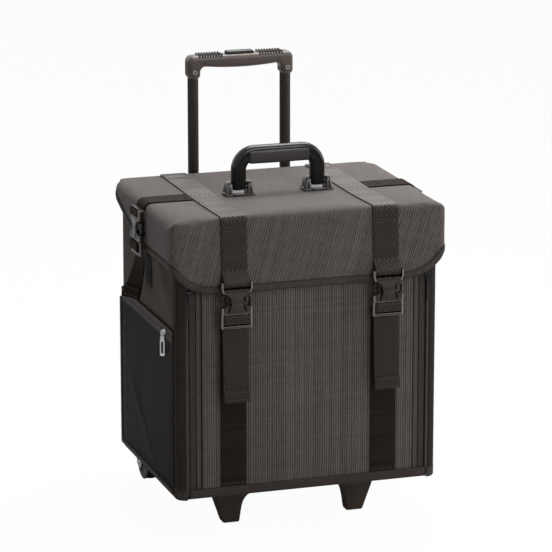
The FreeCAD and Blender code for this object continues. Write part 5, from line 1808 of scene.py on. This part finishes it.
def tyre_rubber(side):
    """A grooved tyre: its section is drawn above the axle and spun round it."""
    groove_at, groove_half, groove_deep, slim = 0.45, 0.14, 0.28, 0.98
    middle, hub_radius, band = wheel_sizes(side)
    half, ring = span(side + "_tyre", X) / 2, middle + UP * (hub_radius + band)
    clear_selection()
    bpy.ops.mesh.primitive_circle_add(vertices=24, radius=1, fill_type="NOTHING", location=ring,
                                      rotation=(QUARTER, 0, 0))
    piece = settle(side + "_tyre_rubber")
    for vertex in piece.data.vertices:
        a, b = vertex.co.x - ring.x, vertex.co.z - ring.z
        full = max(abs(a), abs(b)) ** 0.75
        vertex.co = ring + Vector((a / full * half * slim, 0, b / full * band * slim))
        groove = abs(abs(vertex.co.x - ring.x) - half * groove_at) < half * groove_half
        if groove and vertex.co.z > ring.z:
            vertex.co.z -= band * groove_deep
    with editing(piece):
        pick_all()
        bpy.ops.mesh.spin(steps=64, angle=2 * math.pi, center=middle, axis=RIGHT)
    close_seams(piece)
    dress(smooth(piece), "Tyre", side + "_wheel", "tyre_rubber", side + "_tyre")


def wheel_hub(side):
    """A dished hub with its bore and a ring of lightening holes."""
    bore, holes = 0.0041, 5
    middle, radius, band = wheel_sizes(side)
    piece = rod(side + "_wheel_hub", middle, RIGHT, radius + band * 0.2, span(side + "_wheel", X), 64)
    with editing(piece):
        pick(piece, "FACE", lambda f: abs(f.normal.x) > 0.9)
        for thick, deep in ((0.0035, 0), (0.0012, -0.0030), ((radius - 0.0047) * 0.55, 0), (0.0008, 0.0024)):
            bpy.ops.mesh.inset(thickness=thick, depth=deep, use_individual=True)
    tools = [rod("bore", middle, RIGHT, bore, 0.1, 32)]
    for k in range(holes):
        turn = 2 * math.pi * k / holes
        away = Vector((0, math.sin(turn), math.cos(turn))) * radius * 0.56
        tools.append(rod("lightening", middle + away, RIGHT, radius * 0.15, 0.1, 20))
    cut_away(piece, *tools)
    round_edges(piece, 0.0005, 2, 40)
    # Painted light: the hubs take a lightened copy of the black plastic
    dress(smooth(piece), "Foot plastic painted lighter", side + "_wheel", "black_plastic", side + "_wheel")


class MAKEUP_OT_wheels(bpy.types.Operator):
    """Wheels with grooved tyres"""
    bl_idname = "makeup.wheels"
    bl_label = "Wheels"

    def execute(self, context):
        for side, _ in SIDES:
            tyre_rubber(side)
            wheel_hub(side)
        return {"FINISHED"}


# Stage

def studio_world(room_light):
    """A world that is white where it is seen, and gives a low light from all round."""
    world = bpy.data.worlds.new("Studio")
    world.use_nodes = True
    bpy.context.scene.world = world
    tree = world.node_tree
    tree.nodes.clear()
    light = put(tree, "ShaderNodeLightPath")
    seen = calc(tree, "MAXIMUM", light.outputs["Is Camera Ray"], calc(
        tree, "MAXIMUM", light.outputs["Is Glossy Ray"], light.outputs["Is Transmission Ray"]))
    strength = spread(tree, seen, room_light, 1.0)
    sky = put(tree, "ShaderNodeBackground", {"Color": (1, 1, 1, 1), "Strength": strength})
    put(tree, "ShaderNodeOutputWorld", {"Surface": sky.outputs[0]})


def studio_floor():
    """A floor that is nearly white to the camera and keeps a little of the shadow."""
    wide, drop, white_share = 14, 0.0005, 0.97
    clear_selection()
    bpy.ops.mesh.primitive_plane_add(size=wide, location=(0, 0, -drop))
    floor = settle("studio_floor")
    look = bpy.data.materials.new("Floor")
    look.use_nodes = True
    tree = look.node_tree
    tree.nodes.clear()
    light = put(tree, "ShaderNodeLightPath")
    seen = calc(tree, "MULTIPLY", light.outputs["Is Camera Ray"], white_share)
    plain = put(tree, "ShaderNodeBsdfDiffuse", {"Color": (0.80, 0.80, 0.80, 1)})
    white = put(tree, "ShaderNodeEmission", {"Color": (1, 1, 1, 1), "Strength": 1.0})
    both = put(tree, "ShaderNodeMixShader", {0: seen, 1: plain.outputs[0], 2: white.outputs[0]})
    put(tree, "ShaderNodeOutputMaterial", {"Surface": both.outputs[0]})
    floor.data.materials.append(look)


def studio_lamps(stage):
    """Soft lights above, in front and on the right."""
    for name, place, aim, wide, power in (
            ("top_softbox", (0.45, 0.55, 2.1), (0, 0, 0.4), 1.4, stage.top_light),
            ("front_softbox", (0.35, -1.70, 1.25), (0, 0, 0.35), 0.8, stage.front_light),
            ("right_softbox", (1.3, -0.45, 0.80), (0, 0, 0.30), 0.8, stage.right_light)):
        lamp = bpy.data.lights.new(name, "AREA")
        lamp.size, lamp.energy = wide, power
        holder = bpy.data.objects.new(name, lamp)
        holder.location = place
        holder.rotation_euler = (Vector(aim) - Vector(place)).to_track_quat("-Z", "Y").to_euler()
        bpy.context.collection.objects.link(holder)


def photo_camera(stage):
    """The camera, where the photo was taken from."""
    sensor, far = 36, 50
    camera = bpy.data.cameras.new("camera")
    camera.lens, camera.sensor_width, camera.clip_end = stage.lens, sensor, far
    holder = bpy.data.objects.new("camera", camera)
    bpy.context.collection.objects.link(holder)
    a, e = stage.azimuth, stage.elevation
    back = Vector((math.sin(a) * math.cos(e), -math.cos(a) * math.cos(e), math.sin(e)))
    aside = Vector((math.cos(a), math.sin(a), 0))
    holder.location = aside * stage.aside + UP * stage.height + back * stage.distance
    holder.rotation_euler = (-back).to_track_quat("-Z", "Y").to_euler()
    bpy.context.scene.camera = holder


class MAKEUP_OT_stage(bpy.types.Operator):
    """Pale floor, soft studio light and the camera"""
    bl_idname = "makeup.stage"
    bl_label = "Stage"

    def execute(self, context):
        stage = context.scene.case_stage
        context.scene.view_settings.view_transform = "Standard"
        studio_world(stage.room_light)
        studio_floor()
        studio_lamps(stage)
        photo_camera(stage)
        return {"FINISHED"}


PIECES = (
    MAKEUP_OT_finishes, MAKEUP_OT_side_panels, MAKEUP_OT_back_panel, MAKEUP_OT_base_rim,
    MAKEUP_OT_inside_lining, MAKEUP_OT_front_panel, MAKEUP_OT_lid_cover, MAKEUP_OT_lid_trim,
    MAKEUP_OT_hinge_tape, MAKEUP_OT_lid_straps, MAKEUP_OT_sewn_straps, MAKEUP_OT_strap_tails,
    MAKEUP_OT_buckles, MAKEUP_OT_front_zips, MAKEUP_OT_net_pockets, MAKEUP_OT_zip_sliders,
    MAKEUP_OT_carry_handle, MAKEUP_OT_handle_brackets, MAKEUP_OT_pull_handle, MAKEUP_OT_front_feet,
    MAKEUP_OT_wheels, MAKEUP_OT_stage)


class MAKEUP_PT_case(bpy.types.Panel):
    """Buttons for the pieces of the case"""
    bl_idname = "MAKEUP_PT_case"
    bl_label = "Makeup Case"
    bl_space_type = "VIEW_3D"
    bl_region_type = "UI"
    bl_category = "Makeup Case"

    def draw(self, context):
        for group in (context.scene.case_sizes, context.scene.case_colours, context.scene.case_stage):
            column = self.layout.column(align=True)
            for key in group.__annotations__:
                column.prop(group, key)
        for piece in PIECES:
            self.layout.operator(piece.bl_idname)


SETTINGS = {"case_sizes": CaseSizes, "case_colours": CaseColours, "case_stage": CaseStage}


def register():
    for group in (*SETTINGS.values(), *PIECES, MAKEUP_PT_case):
        bpy.utils.register_class(group)
    for name, group in SETTINGS.items():
        setattr(bpy.types.Scene, name, PointerProperty(type=group))


def unregister():
    for name in SETTINGS:
        delattr(bpy.types.Scene, name)
    for group in (MAKEUP_PT_case, *reversed(PIECES), *SETTINGS.values()):
        bpy.utils.unregister_class(group)


def main():
    register()
    for piece in PIECES:
        area, name = piece.bl_idname.split(".")
        getattr(getattr(bpy.ops, area), name)()


if __name__ == "__main__":
    main()
